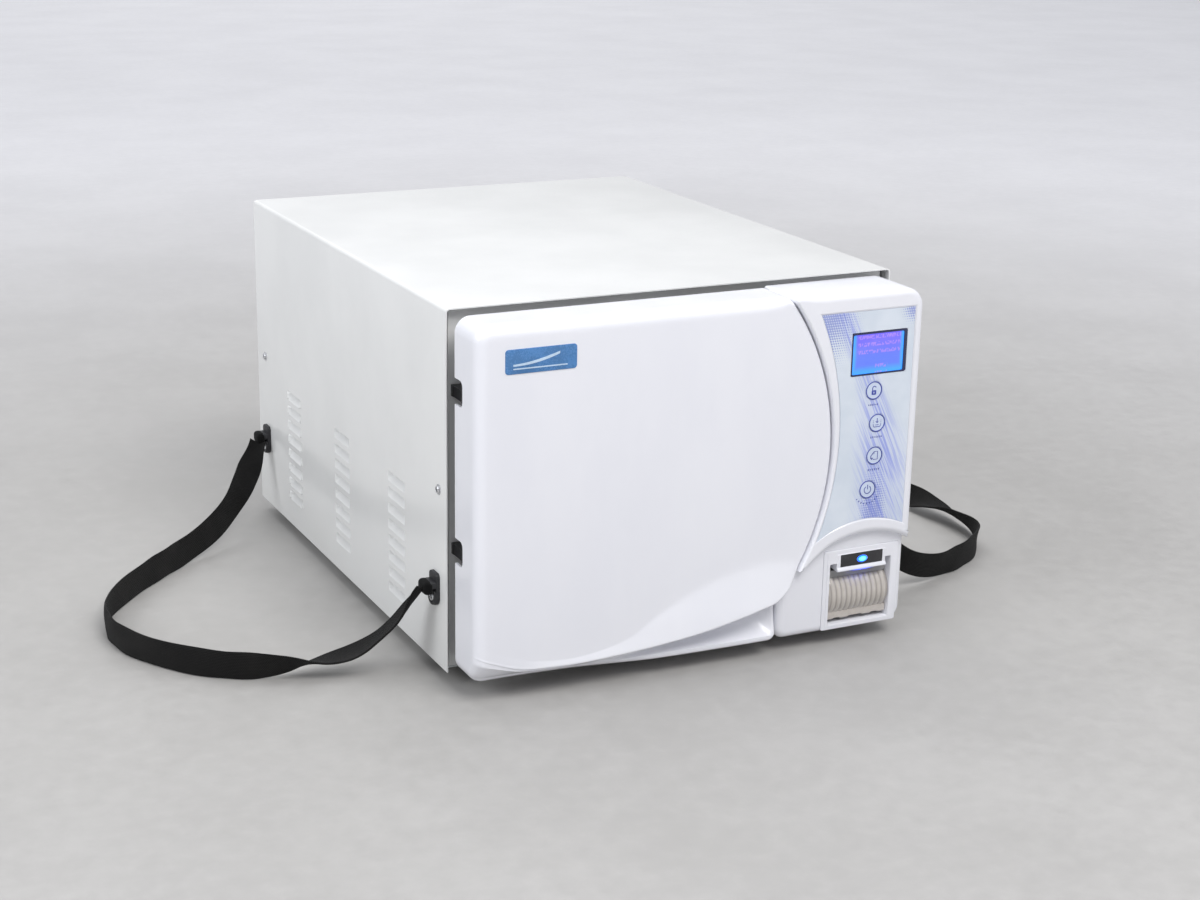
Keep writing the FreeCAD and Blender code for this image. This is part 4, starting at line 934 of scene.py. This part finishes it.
def strap_tabs():
    """Black eye tabs for the straps: a ring round the screw and a loop that holds the webbing."""
    tongue = arc(0, -5, 10, 180, 360, 14) + arc(6, 16, 4, 0, 90, 5) + arc(-6, 16, 4, 90, 180, 5)
    eye = rounded(-9.4, 4.4, 9.4, 12.0, 2.0, 4)
    collar = [(3.6, 9.4), (5.2, 9.2), (5.8, 8.6), (5.8, 6.9), (4.4, 6.2)]
    tabs, screws, loops = Shape(), Shape(), Shape()
    for sign, wall in WALLS:
        for y, z in ANCHORS:
            wall_plate(tabs, sign, (wall, y, z), tongue, 0.0, 4.0, 1.2)
            tabs.turned((wall, y, z - 5), (sign, 0, 0), collar, 40)
            wall_plate(tabs, sign, (wall, y, z), eye, 3.0, 12.6, 1.6)
            cross_screw(screws, (wall + sign * 4.0, y, z - 5), (sign, 0, 0), 5.2, 2.5)
            near, far = sorted((wall + sign * 6.5, wall + sign * 16.5))
            loops.soft_box((near, y - 10.5, z - 1.0), (far, y + 10.5, z + 12.5), 4.2, steps=4)
    piece("strap_end_loops", loops, "case", "black_webbing")
    piece("strap_tab_shells", tabs, "case", "black_plastic", "strap_brackets")
    piece("strap_screw_heads", screws, "case", "stainless_steel", "strap_screws", [ZINC])


def feet():
    """Rubber feet with a flared foot and a moulded ring."""
    low, high = mm_box("feet")
    radius = 17.0
    profile = [(0, 0.70), (0.0, 0.84), (0.7, 0.90), (2.2, 0.93), (5, 0.95), (5.6, 0.90), (6.6, 0.90),
               (7.2, 0.97), (high.z, 1)]
    shape = Shape()
    for x in (low.x + radius, high.x - radius):
        for y in (low.y + radius, high.y - radius):
            shape.turned((x, y, 0), (0, 0, 1), [(level, radius * share) for level, share in profile], 48)
    piece("foot_pads", shape, "case", "black_rubber", "feet")


cover_shell()
side_screws()
strap_tabs()
feet()


# ---------------------------------------------------------------- door

# Front view in millimetres: the seam between door and panel is an arc about SEAM.
SEAM, SEAM_RADIUS = Vector((-112.8, 221.5)), 258.8
DOOR_LEFT, DOOR_BOTTOM, DOOR_TOP = -246.0, 19.0, 381.0
CORNER = 16.0  # radius of the two left corners
FOOT_X, FOOT_RADIUS = 90.0, 9.0  # right end of the bottom edge and its corner
FOOT_Z, KNEE_Z = DOOR_BOTTOM + FOOT_RADIUS, 62.0  # the straight bit between the foot and the seam
TIP = 4.0  # radius of the corner where the seam meets the top
TIP_SLOPE = 0.72  # the round tip ends at this slope

# Depths: front face and rear rim, the usual edge rounding and the one along the seam.
FACE, DOOR_REAR = -340.0, -286.0
SOFT, SEAM_SOFT = 12.0, 3.2
EDGE = 14.0  # width of the band of close columns at each side
HINGES = (148, 309)  # heights of the notches for the hinge arms


def seam_x(z, radius):
    return SEAM.x + math.sqrt(radius ** 2 - (z - SEAM.y) ** 2)


TIP_Z = DOOR_TOP - TIP
TIP_X = seam_x(TIP_Z, SEAM_RADIUS - TIP)
TIP_START = SEAM.y + (TIP_Z - SEAM.y) * SEAM_RADIUS / (SEAM_RADIUS - TIP)


def beside(radius, past):
    """Half width of a round corner at a distance from its centre's height."""
    return math.sqrt(max(0.0, radius ** 2 - past ** 2))


def door_left_x(z):
    past = max(z - (DOOR_TOP - CORNER), DOOR_BOTTOM + CORNER - z, 0.0)
    return DOOR_LEFT + CORNER - beside(CORNER, past)


def door_right_x(z):
    """Right edge of the door: round tip, seam, straight knee and round foot."""
    if z > TIP_START:
        return TIP_X + beside(TIP, z - TIP_Z)
    if z < FOOT_Z:
        return FOOT_X - FOOT_RADIUS + beside(FOOT_RADIUS, z - FOOT_Z)
    if z < KNEE_Z:
        return FOOT_X + (z - FOOT_Z) / (KNEE_Z - FOOT_Z)
    return seam_x(z, SEAM_RADIUS)


def seam_gap(x, z):
    """How far a point lies inside the seam and the straight bit below it."""
    if z < KNEE_Z:
        return FOOT_X + max(0.0, (z - FOOT_Z) / (KNEE_Z - FOOT_Z)) - x
    return SEAM_RADIUS - math.hypot(x - SEAM.x, z - SEAM.y)


def door_edge_distance(x, z):
    """How far a point lies inside the door's outline."""
    left, foot = DOOR_LEFT + CORNER, FOOT_X - FOOT_RADIUS
    high, low = DOOR_TOP - CORNER, DOOR_BOTTOM + CORNER
    for cx, cz, radius, inside in ((left, high, CORNER, x < left and z > high),
                                   (left, low, CORNER, x < left and z < low),
                                   (foot, FOOT_Z, FOOT_RADIUS, x > foot and z < FOOT_Z),
                                   (TIP_X, TIP_Z, TIP, x > TIP_X and z - TIP_Z > (x - TIP_X) * TIP_SLOPE)):
        if inside:
            return radius - math.hypot(x - cx, z - cz)
    return min(x - DOOR_LEFT, z - DOOR_BOTTOM, DOOR_TOP - z, seam_gap(x, z))


def soft_edge(x, z):
    """Fall of the face at a point: tight along the seam and at the foot, softer elsewhere."""
    others = min(x - DOOR_LEFT, DOOR_TOP - z, z - DOOR_BOTTOM)
    foot = SOFT + (SEAM_SOFT - SOFT) * smooth_step(x, -150, -40) * (1 - smooth_step(z, 40.0, 80.0))
    radius = SEAM_SOFT + (foot - SEAM_SOFT) * smooth_step(seam_gap(x, z) - others, -8.0, 14.0)
    return radius - beside(radius, radius - min(max(door_edge_distance(x, z), 0.0), radius))


# Handle lip at stations across the door (0 at its left, 1 at the seam): top of the flare, ridge
# below it, how far the ridge stands out, how deep the finger space goes, how far the rim sets back.
LIP = [(0.0, 66, 52, 0.0, 0.0, 15), (0.07, 56, 43, 0.2, 0.3, 15), (0.13, 48, 36, 0.5, 0.5, 14.5),
       (0.19, 42, 33.2, 0.8, 0.8, 13.5), (0.33, 39, 31.5, 1.4, 2.0, 10.5), (0.50, 52, 34.2, 3.2, 7, 6.5),
       (0.606, 80, 38.0, 6.0, 13, 4), (0.731, 102, 44.5, 9.0, 19, 2.2), (0.861, 111.5, 53.5, 10, 23, 1.0),
       (0.94, 110, 60.0, 9.6, 20, 0.6), (0.975, 107, 64, 8.6, 14, 0.6), (1.0, 99, 78, 5.5, 7, 0.6)]
RIM = DOOR_BOTTOM + 6
NOSE = 2.6  # radius of the lip's ridge
BEND = 0.22  # share of the flare that bends before it runs straight, and of the space behind the ridge


def lip_profile(share):
    """Lower part of one column of the door's face: (how far back from the face, height)."""
    top, ridge, out, deep, back = along(LIP, share)
    out, deep = max(0.0, out), max(0.0, deep)
    points = []
    for i in range(12):
        s = i / 12
        lift = s * s / (2 * BEND) if s < BEND else s - BEND / 2
        points.append((-out * lift / (1 - BEND / 2), top + (ridge + NOSE - top) * s))
    for i in range(7):
        turn = quarter(i, 6)
        points.append((-out - 0.3 * math.sin(2 * turn) + NOSE * (1 - math.cos(turn)) * min(1, out / 6),
                       ridge + NOSE * (1 - math.sin(turn)) if i < 6 else ridge))
    start = points[-1][0]
    back_z = ridge - BEND * (ridge - RIM)
    for i in range(1, 9):
        turn = quarter(i, 8)
        points.append((start + (deep - start) * math.sin(turn),
                       ridge + (back_z - ridge) * (1 - math.cos(turn))))
    for i in range(1, 11):
        t = i / 10
        points.append((deep * (1 - t ** 2.4) + back * t, back_z + (RIM - back_z) * t))
    return points + [(back, RIM + (DOOR_BOTTOM - RIM) * math.sin(quarter(i, 7))) for i in range(1, 8)]


def door_shell():
    """Moulded door: soft edges, the flared grip lip and the scooped finger space under it."""
    wide = FOOT_X - DOOR_LEFT
    ends = [EDGE * (1 - math.cos(quarter(i, 9))) for i in range(10)]
    # each column's fixed distance from the left edge, and its share of the span between the bands
    columns = ([(end, 0.0) for end in ends] + [(EDGE, i / 34) for i in range(1, 34)]
               + [(2 * EDGE - end, 1.0) for end in reversed(ends)])
    top_rows = [DOOR_TOP - CORNER * (1 - math.sin(quarter(i, 12))) for i in range(12, -1, -1)]
    grid = []
    for fixed, part in columns:
        lower_part = lip_profile((fixed + (wide - 2 * EDGE) * part) / wide)
        start = lower_part[0][1]
        middle = [top_rows[-1] + (start - top_rows[-1]) * i / 22 for i in range(1, 22)]
        column = []
        for back, z in [(0.0, z) for z in top_rows + middle] + lower_part:
            left, right = door_left_x(z), door_right_x(z)
            x = left + fixed + (right - left - 2 * EDGE) * part
            column.append((x, FACE + back + soft_edge(x, z), z))
        grid.append(column)
    shape = Shape().grid(grid)
    border = [c[0] for c in grid] + grid[-1][1:] + [c[-1] for c in reversed(grid)][1:] + grid[0][-2:0:-1]
    shape.grid([[(x, y + (DOOR_REAR - y) * level, z) for x, y, z in border]
                for level in (0.0, 0.15, 0.55, 1.0)], wrap=True)
    notch = arc(-13, 7, 6, 90, 180, 5) + arc(-13, -7, 6, 180, 270, 5) + [(4, -13), (4, 13)]
    notches = [Shape().loft([[(DOOR_LEFT + x, DOOR_REAR + a, z + b) for a, b in notch] for x in (-8, 10)])
               for z in HINGES]
    piece("door_shell", shape, "door", WHITE_SLOT, "door_cover", sharp=40, gauge=2.6, cutters=notches)


def door_badge():
    """Plain blue badge with a paler swoosh and rule, no lettering."""
    left, low, right, high = -217.5, 334.5, -143.5, 358.5
    shape = Shape().plate(rounded(left, low, right, high, 3.2), FACE - 0.7, FACE + 0.6, 0.5)

    def sweep(base, rise, power):
        return [(left + 8 + 48 * i / 16, low + base + rise * (i / 16) ** power) for i in range(17)]

    swoosh = sweep(7.6, 8.6, 2.1) + sweep(9.5, 9.0, 1.7)[::-1]
    for outline in (swoosh, rounded(left + 8, low + 4.4, right - 10, low + 5.6, 0.5, 3)):
        shape.plate(outline, FACE - 0.95, FACE - 0.6, 0.05, slot=1, steps=1)
    piece("door_badge", shape, "door", "navy_bezel", mats=[BADGE, PALE_LINE])


door_shell()
door_badge()


# ---------------------------------------------------------------- control panel

PANEL_RIGHT, PANEL_BOTTOM, PANEL_TOP = 247.0, 16.0, 381.0
PANEL_SEAM = SEAM_RADIUS + 1.3  # its edge runs 1.3 mm outside the door's
PANEL_FOOT = 92.4  # left edge of the panel below the seam
PANEL_TIP, PANEL_TURN = 3.0, 20.0  # radii of the corner at the seam and of the top right corner
FIELD_BASE = 92.0  # height at which the raised field leaves the seam
SEAM_EDGE = 2.2  # edge rounding along the seam

# Depths: lower face, raised field, printed sheet in the field, and the rear.
STEP, FIELD, SHEET, PANEL_REAR = -335.0, -344.4, -343.9, -286.0


def circle_arc(first, middle, last, steps):
    """Points of the arc through three points."""
    (ax, ay), (bx, by), (cx, cy) = first, middle, last
    a, b, c = ax * ax + ay * ay, bx * bx + by * by, cx * cx + cy * cy
    d = 2 * (ax * (by - cy) + bx * (cy - ay) + cx * (ay - by))
    ux = (a * (by - cy) + b * (cy - ay) + c * (ay - by)) / d
    uy = (a * (cx - bx) + b * (ax - cx) + c * (bx - ax)) / d
    start, way, end = (math.degrees(math.atan2(y - uy, x - ux)) for x, y in (first, middle, last))
    sweep = (end - start) % 360
    if (way - start) % 360 > sweep:
        sweep -= 360
    return arc(ux, uy, math.hypot(ax - ux, ay - uy), start, start + sweep, steps)


def panel_side(low):
    """The seam side from the rounded top corner down to a height, clockwise round its centre."""
    z = PANEL_TOP - PANEL_TIP
    x = seam_x(z, PANEL_SEAM + PANEL_TIP)
    toward = math.degrees(math.atan2(z - SEAM.y, x - SEAM.x))
    end = math.degrees(math.asin((low - SEAM.y) / PANEL_SEAM))
    return (arc(x, z, PANEL_TIP, 90, 180 + toward, 7)
            + arc(SEAM.x, SEAM.y, PANEL_SEAM, toward, end, 34)[1:])


def top_edge(right, tip_x):
    """Top right corner and points along the top, so that its rounding can change towards the tip."""
    return (arc(right - PANEL_TURN, PANEL_TOP - PANEL_TURN, PANEL_TURN, 0, 90, 10)
            + [(tip_x + reach, PANEL_TOP) for reach in (48, 36, 26, 18, 11, 5)])


def panel_outline():
    """Anticlockwise front view of the whole panel."""
    side = panel_side(64)
    return (side + [(PANEL_FOOT + 0.4, z) for z in (56, 48, 40, 33)]
            + arc(PANEL_FOOT + 12, PANEL_BOTTOM + 12, 12, 180, 270, 8)
            + arc(PANEL_RIGHT - 16, PANEL_BOTTOM + 16, 16, 270, 360, 10)
            + top_edge(PANEL_RIGHT, side[0][0]))


def field_outline():
    """Anticlockwise front view of the raised keypad field above the arch."""
    side = panel_side(FIELD_BASE)
    toe = (side[-1][0] + 4.0, side[-1][1] - 0.8)
    right = PANEL_RIGHT - 0.05
    arch = circle_arc(toe, ((toe[0] + PANEL_RIGHT) / 2 + 10, 123.5), (right, 110), 26)
    return side + arch + top_edge(right, side[0][0])


def edge_radii(outline, wide):
    """Rounding at each point: tight along the seam, wide elsewhere, changing gently between."""
    radii = []
    for x, z in outline:
        off_seam = abs(math.hypot(x - SEAM.x, z - SEAM.y) - PANEL_SEAM)
        far = max(smooth_step(off_seam, 0.5, 26.0), smooth_step(z, FIELD_BASE, 40.0))
        radii.append(SEAM_EDGE + (wide - SEAM_EDGE) * far)
    return radii


def sheet_outline(grow):
    """Keypad sheet's front view, anticlockwise: straight top and right, curved left, arched foot."""
    right, high = 236 + grow, 362 + grow
    levels = [high + (122 - grow - high) * i / 30 for i in range(31)]
    side = [(-152 + math.sqrt((305 - grow) ** 2 - (z - 234) ** 2), z) for z in levels]
    foot = circle_arc(side[-1], (183, 140 - grow), (right, 130 - grow), 16)
    return side + foot[1:] + [(right, high)]


def panel_shell():
    """Moulded panel: soft edges, the raised field ending in an arch, openings for what it holds."""
    outline = panel_outline()
    base = Shape().plate(outline, STEP, PANEL_REAR, edge_radii(outline, 8.0), steps=6)
    hollow = shrunk(outline, 3)
    outline = shrunk(field_outline(), 0.06)
    field = Shape().plate(outline, FIELD, PANEL_REAR + 8, edge_radii(outline, 6.5), steps=6)
    # depths of the sheet's pocket, and how much wider than the sheet it is there
    pocket = ((SHEET + 0.75, 0.4), (SHEET + 0.35, 0.45), (SHEET, 0.9), (FIELD + 0.12, 1.8),
              (FIELD - 0.6, 2.8))
    behind_sheet = sheet_outline(1.5)
    screen_hole = framed("screen_bezel", -0.3, -0.3, -0.3, -0.3, 2.6)
    printer_bay = framed("printer_frame", -0.25, -0.25, -0.25, -0.25, 2.0)
    cutters = [slab((PANEL_REAR + 1, hollow), (STEP + 3, hollow)),
               slab((STEP + 12, behind_sheet), (FIELD + 3.4, behind_sheet)),
               slab(*[(y, sheet_outline(grow)) for y, grow in pocket]),
               slab((-346, screen_hole), (-330, screen_hole)),
               slab((-350, printer_bay), (-280, printer_bay))]
    for node in KEYS:
        x, _, z = centre_of(node)
        cutters.append(Shape().turned((x, -346, z), TO_REAR, [(0, 10.3), (16, 10.3)], 48))
    piece("panel_shell", base, "case", WHITE_SLOT, "panel_housing", sharp=34, added=[field], cutters=cutters)


def screen():
    """Dark frame with soft corners round the lit display."""
    frame_shape = Shape().plate(framed("screen_bezel", 0, 0, 0, 0, 2.4), SHEET - 0.35, SHEET + 5.6, 0.5)
    inner = framed("screen_bezel", 1.6, 1.7, 3.8, 2.4, 1.6)
    opening = slab((SHEET - 1.4, framed("screen_bezel", 0.9, 1.0, 3.1, 1.6, 2.0)), (SHEET + 0.6, inner),
                   (SHEET + 9, inner))
    piece("screen_surround", frame_shape, "case", "navy_bezel", "screen_bezel", cutters=[opening])
    glass = Shape().plate(framed("screen_bezel", 1.4, 1.5, 3.6, 2.2, 1.6), SHEET + 0.45, SHEET + 2.2, 0.15,
                          steps=2)
    piece("screen_glass", glass, "case", "screen_glass", "screen_window")


def stroke(shape, points, wide, near, far, slot):
    """A thin printed line of an even width through (x, z) points."""
    left, right = [], []
    for i, point in enumerate(points):
        before, after = Vector(points[max(i - 1, 0)]), Vector(points[min(i + 1, len(points) - 1)])
        run = (after - before).normalized()
        across = Vector((-run.y, run.x)) * (wide / 2)
        left.append(tuple(Vector(point) + across))
        right.append(tuple(Vector(point) - across))
    shape.loft([[(x, y, z) for x, z in right + left[::-1]] for y in (far, near)], slot)


# Each key's body, the number of bars printed under it, and its sign: lines of a width through
# (x, z) points, and outlines filled with ink or left pale.
KEYS = {
    # open padlock: filled body with a slot, shackle swung up
    "padlock_button": ("padlock_key", 5, [
        ("fill", rounded(-2.7, -4.6, 2.7, 0.2, 0.8, 3)),
        (0.9, [(-1.9, 0.2), (-1.9, 2.0)] + arc(0.3, 2.2, 2.2, 180, 20, 12)),
        ("pale", rounded(-0.5, -3.2, 0.5, -1.2, 0.4, 3))]),
    # arrow pointing down between two short rows of marks, over a tray
    "arrow_button": ("arrow_key", 6, [
        (0.7, [(0, 5.0), (0, 0.2)]), (0.7, [(-1.6, 1.8), (0, 0.0), (1.6, 1.8)]),
        *[(0.6, [(x, z), (x + 0.8, z)]) for x in (-5.0, 4.2) for z in (2.4, 0.6, -1.2)],
        (0.7, [(-4.6, -2.2), (-3.6, -4.2), (3.6, -4.2), (4.6, -2.2)]), (0.6, [(-2.0, -2.2), (2.0, -2.2)])]),
    # sheet with a folded corner and a turning arrow
    "page_button": ("page_key", 6, [
        (0.75, [(-1.6, -4.2), (3.8, -4.2), (3.8, 4.2), (-0.4, 4.2), (-2.4, 2.0), (-2.4, 0.8)]),
        (0.6, [(-0.4, 4.2), (-0.4, 2.0), (-2.4, 2.0)]), (0.95, arc(-1.2, -1.0, 3.0, 235, 130, 12)),
        (0.9, [(-4.6, -2.2), (-3.2, -3.9), (-1.6, -2.4)])]),
    # broken ring with an upright bar
    "power_button": ("power_key", 9, [
        (0.85, arc(0, -0.4, 4.0, 122, 418, 30)), (0.9, [(0, 0.2), (0, 5.0)])]),
}

# A key's turned parts: start behind its front, profile, material (0 face, 1 ring) and closed ends.
KEY_PARTS = [(0.0, [(0.5, 9.7), (0.75, 9.95), (1.2, 10.0), (5.0, 10.0)], 0, False),
             (5.0, [(0, 10.0), (0, 3.0), (6.4, 3.0)], 0, True),
             (0.0, [(0.5, 9.7), (0.22, 9.62), (0.05, 9.35), (0.05, 8.85), (0.22, 8.60), (0.42, 8.50)], 1,
              False),
             (0.0, [(0.42, 8.50), (0.46, 8.2), (0.38, 6.5), (0.33, 4.0), (0.30, 0.01)], 0, False)]


def keys():
    """Push buttons: pale domed face, raised blue ring, printed sign."""
    front = SHEET - 0.70
    for node, (body, _, sign) in KEYS.items():
        x, _, z = centre_of(node)
        shape = Shape()
        for start, profile, slot, closed in KEY_PARTS:
            shape.turned((x, front + start, z), TO_REAR, profile, 56, slot, closed)
        for kind, points in sign:
            placed = [(x + a, z + b) for a, b in points]
            if kind == "fill":
                shape.plate(placed, front + 0.20, front + 0.5, 0.03, 1, 1)
            elif kind == "pale":
                shape.plate(placed, front + 0.14, front + 0.5, 0.03, 0, 1)
            else:
                stroke(shape, placed, kind, front + 0.20, front + 0.5, 1)
        piece(node + "_key", shape, body, "keypad_print", node, [KEY_FACE, INK], sharp=40)


def key_marks():
    """Short printed bars under each key in place of words, on an arc under the power key."""
    shape = Shape()
    for number, (node, (_, marks, _)) in enumerate(KEYS.items()):
        x, _, z = centre_of(node)
        for i in range(marks):
            share = i - (marks - 1) / 2
            tall = 2.0 if (i + number) % 3 else 1.4
            middle, way = Vector((x + share * 2.5, z - 15.2)), Vector((0, 1))
            if node == "power_button":
                turn = math.radians(-90 + share * 13)
                middle = Vector((x + 15.5 * math.cos(turn), z + 15.5 * math.sin(turn)))
                way = Vector((math.cos(turn), math.sin(turn)))
            ends = [tuple(middle + way * tall / 2), tuple(middle - way * tall / 2)]
            stroke(shape, ends, 1.15, SHEET - 0.06, SHEET + 0.3, 0)
    piece("key_marks", shape, "case", "keypad_print", mats=[INK])


# ---------------------------------------------------------------- printer

def printer_frame():
    """White printer front: soft edges, a pressed line down its left side, window for the cover."""
    node = "printer_frame"
    low, high = mm_box(node)
    front = low.y
    shape = Shape().plate(framed(node, 0, 0, 0, 0, 2.2), front, high.y, 0.9)
    down = high.z - mm_box("printer_head")[0].z - 9
    inner = framed(node, 8, 5, 9, down, 1.2)
    opening = slab((front - 1, framed(node, 7.4, 4.4, 8.4, down - 0.6, 1.8)), (front + 0.6, inner),
                   (high.y + 1, inner))
    line = Shape().soft_box((low.x + 4.2, front - 1, low.z + 3), (low.x + 4.7, front + 0.4, high.z - 3), 0)
    piece("printer_surround", shape, "case", WHITE_SLOT, node, cutters=[opening, line])


def printer_head():
    """White head block with a rolled lower lip and a recess for the black label."""
    low, high = mm_box("printer_head")
    front = low.y - 2.0
    lip = [(0, 4.4), (-0.9, 3.6), (-1.9, 2.2), (-2.1, 1.1), (-1.5, 0.3), (-0.4, 0), (3.0, 0.8)]
    side = ([(front + 0.7, high.z + 0.3), (front, high.z - 0.6)] + [(front + a, low.z + b) for a, b in lip]
            + [(high.y, low.z + 1.5), (high.y, high.z + 0.3)])
    ends = [(0.0, 0.7), (0.3, 0.25), (1.0, 0.0)]
    sections = ([(low.x + at, inset) for at, inset in ends]
                + [(high.x - at, inset) for at, inset in reversed(ends)])
    block = Shape().loft([[(x, y + inset if y < STEP + 5 else y, z) for y, z in side]
                          for x, inset in sections])
    edge = framed("printer_label", -1.0, 0, -1.0, -0.8, 0.9)
    x, _, z = centre_of("printer_button")

    def button_hole(wide, tall):
        return slab(*[(y, oval(x, z, wide, tall)) for y in (-345, STEP + 16)])

    piece("printer_head_block", block, "case", WHITE_SLOT, "printer_head",
          cutters=[slab((-345, edge), (front + 0.7, edge)), button_hole(6.9, 4.2)])
    left = mm_box("printer_label")[0].x
    label = Shape().plate(shrunk(edge, 0.08), front + 0.25, front + 0.75, 0.12, steps=2)
    mark = rounded(left + 2.0, z + 0.2, left + 3.8, z + 3.0, 0.3, 3)
    label.plate(mark, front + 0.18, front + 0.4, 0.05, 1, 1)
    piece("printer_label_plate", label, "case", "black_plastic", "printer_label", [GLOSS_BLACK, PALE_LINE],
          cutters=[button_hole(6.7, 4.0)])
    cap = Shape().loft([[(a, front + 0.6 + depth, b) for a, b in oval(x, z, 6.6 * size, 3.9 * size)]
                        for depth, size in ((6.0, 0.94), (0.4, 0.97), (-0.5, 0.93), (-0.95, 0.72),
                                            (-1.15, 0.36), (-1.2, 0.02))])
    piece("feed_button_cap", cap, "printer_key", "blue_lamp", "printer_button")
    spill = Shape().soft_box((x - 15, front + 0.2, low.z - 1.0), (x + 15, front + 1.8, low.z + 0.3), 0.4)
    piece("printer_glow", spill, "case", "blue_lamp", mats=[GLOW])


def lid_section(half):
    """Ribbed section across the cover: (x from its middle, radius from the roll's axis)."""
    outside, rib_high, pitch, ribs, spans = 27.0, 1.25, 6.2, 11, 110
    first = -pitch * (ribs - 1) / 2
    section = []
    for i in range(spans + 1):
        at = -half + 2 * half * i / spans
        near_rib = abs((at - first + pitch / 2) % pitch - pitch / 2)
        inside = first - pitch * 0.3 < at < -first + pitch * 0.3
        lift = 1.0 - smooth_step(near_rib, 0.5, 2.5) if inside else 0.0
        edge = min(at + half, half - at)
        section.append((at, outside - rib_high + rib_high * lift - 1.6 * (1 - smooth_step(edge, 0.0, 2.2))))
    walls = [(-half, outside - depth) for depth in (12, 9, 6, 4.2)]
    return walls + section + [(half, radius) for _, radius in reversed(walls)]


def printer_lid():
    """See-through ribbed cover, its side walls, plain top flange and hinge knuckles."""
    low, high = mm_box("printer_cover")
    middle = Vector(centre_of("paper_roll"))
    section = lid_section((high.x - low.x) / 2)
    rows = []
    for i in range(29):
        turn = math.radians(-58 + 116 * i / 28)
        rows.append([(middle.x + at, middle.y - radius * math.cos(turn), middle.z + radius * math.sin(turn))
                     for at, radius in section])
    shell = loose("lid_shell", Shape().grid(rows), [MATERIALS["smoky_plastic"]])
    thicken(shell, 1.6)
    settle(shell, 60)
    fittings = Shape()
    for near, far in (((-17.3, 20.6), (-14.9, 28.4)), ((-20.8, -23.8), (-16.2, -16.5))):
        fittings.soft_box((low.x, middle.y + near[0], middle.z + near[1]),
                          (high.x, middle.y + far[0], middle.z + far[1]), 0.6)
    hinge_y, hinge_z = -328.5, 29
    for start, run in ((0, 9), (17, 11), (45, 11), (64, 9)):
        fittings.turned((low.x + start, hinge_y, hinge_z), (1, 0, 0),
                        [(0, 2.0), (0.4, 2.45), (run - 0.4, 2.45), (run, 2.0)], 24)
    part = piece("printer_lid_shell", fittings, "printer_lid", "smoky_plastic", "printer_cover")
    work = bmesh.new()
    work.from_mesh(part.data)
    work.from_mesh(shell.data)
    work.to_mesh(part.data)
    work.free()
    discard(shell)


panel_shell()
screen()
keys()
key_marks()
printer_frame()
printer_head()
printer_lid()
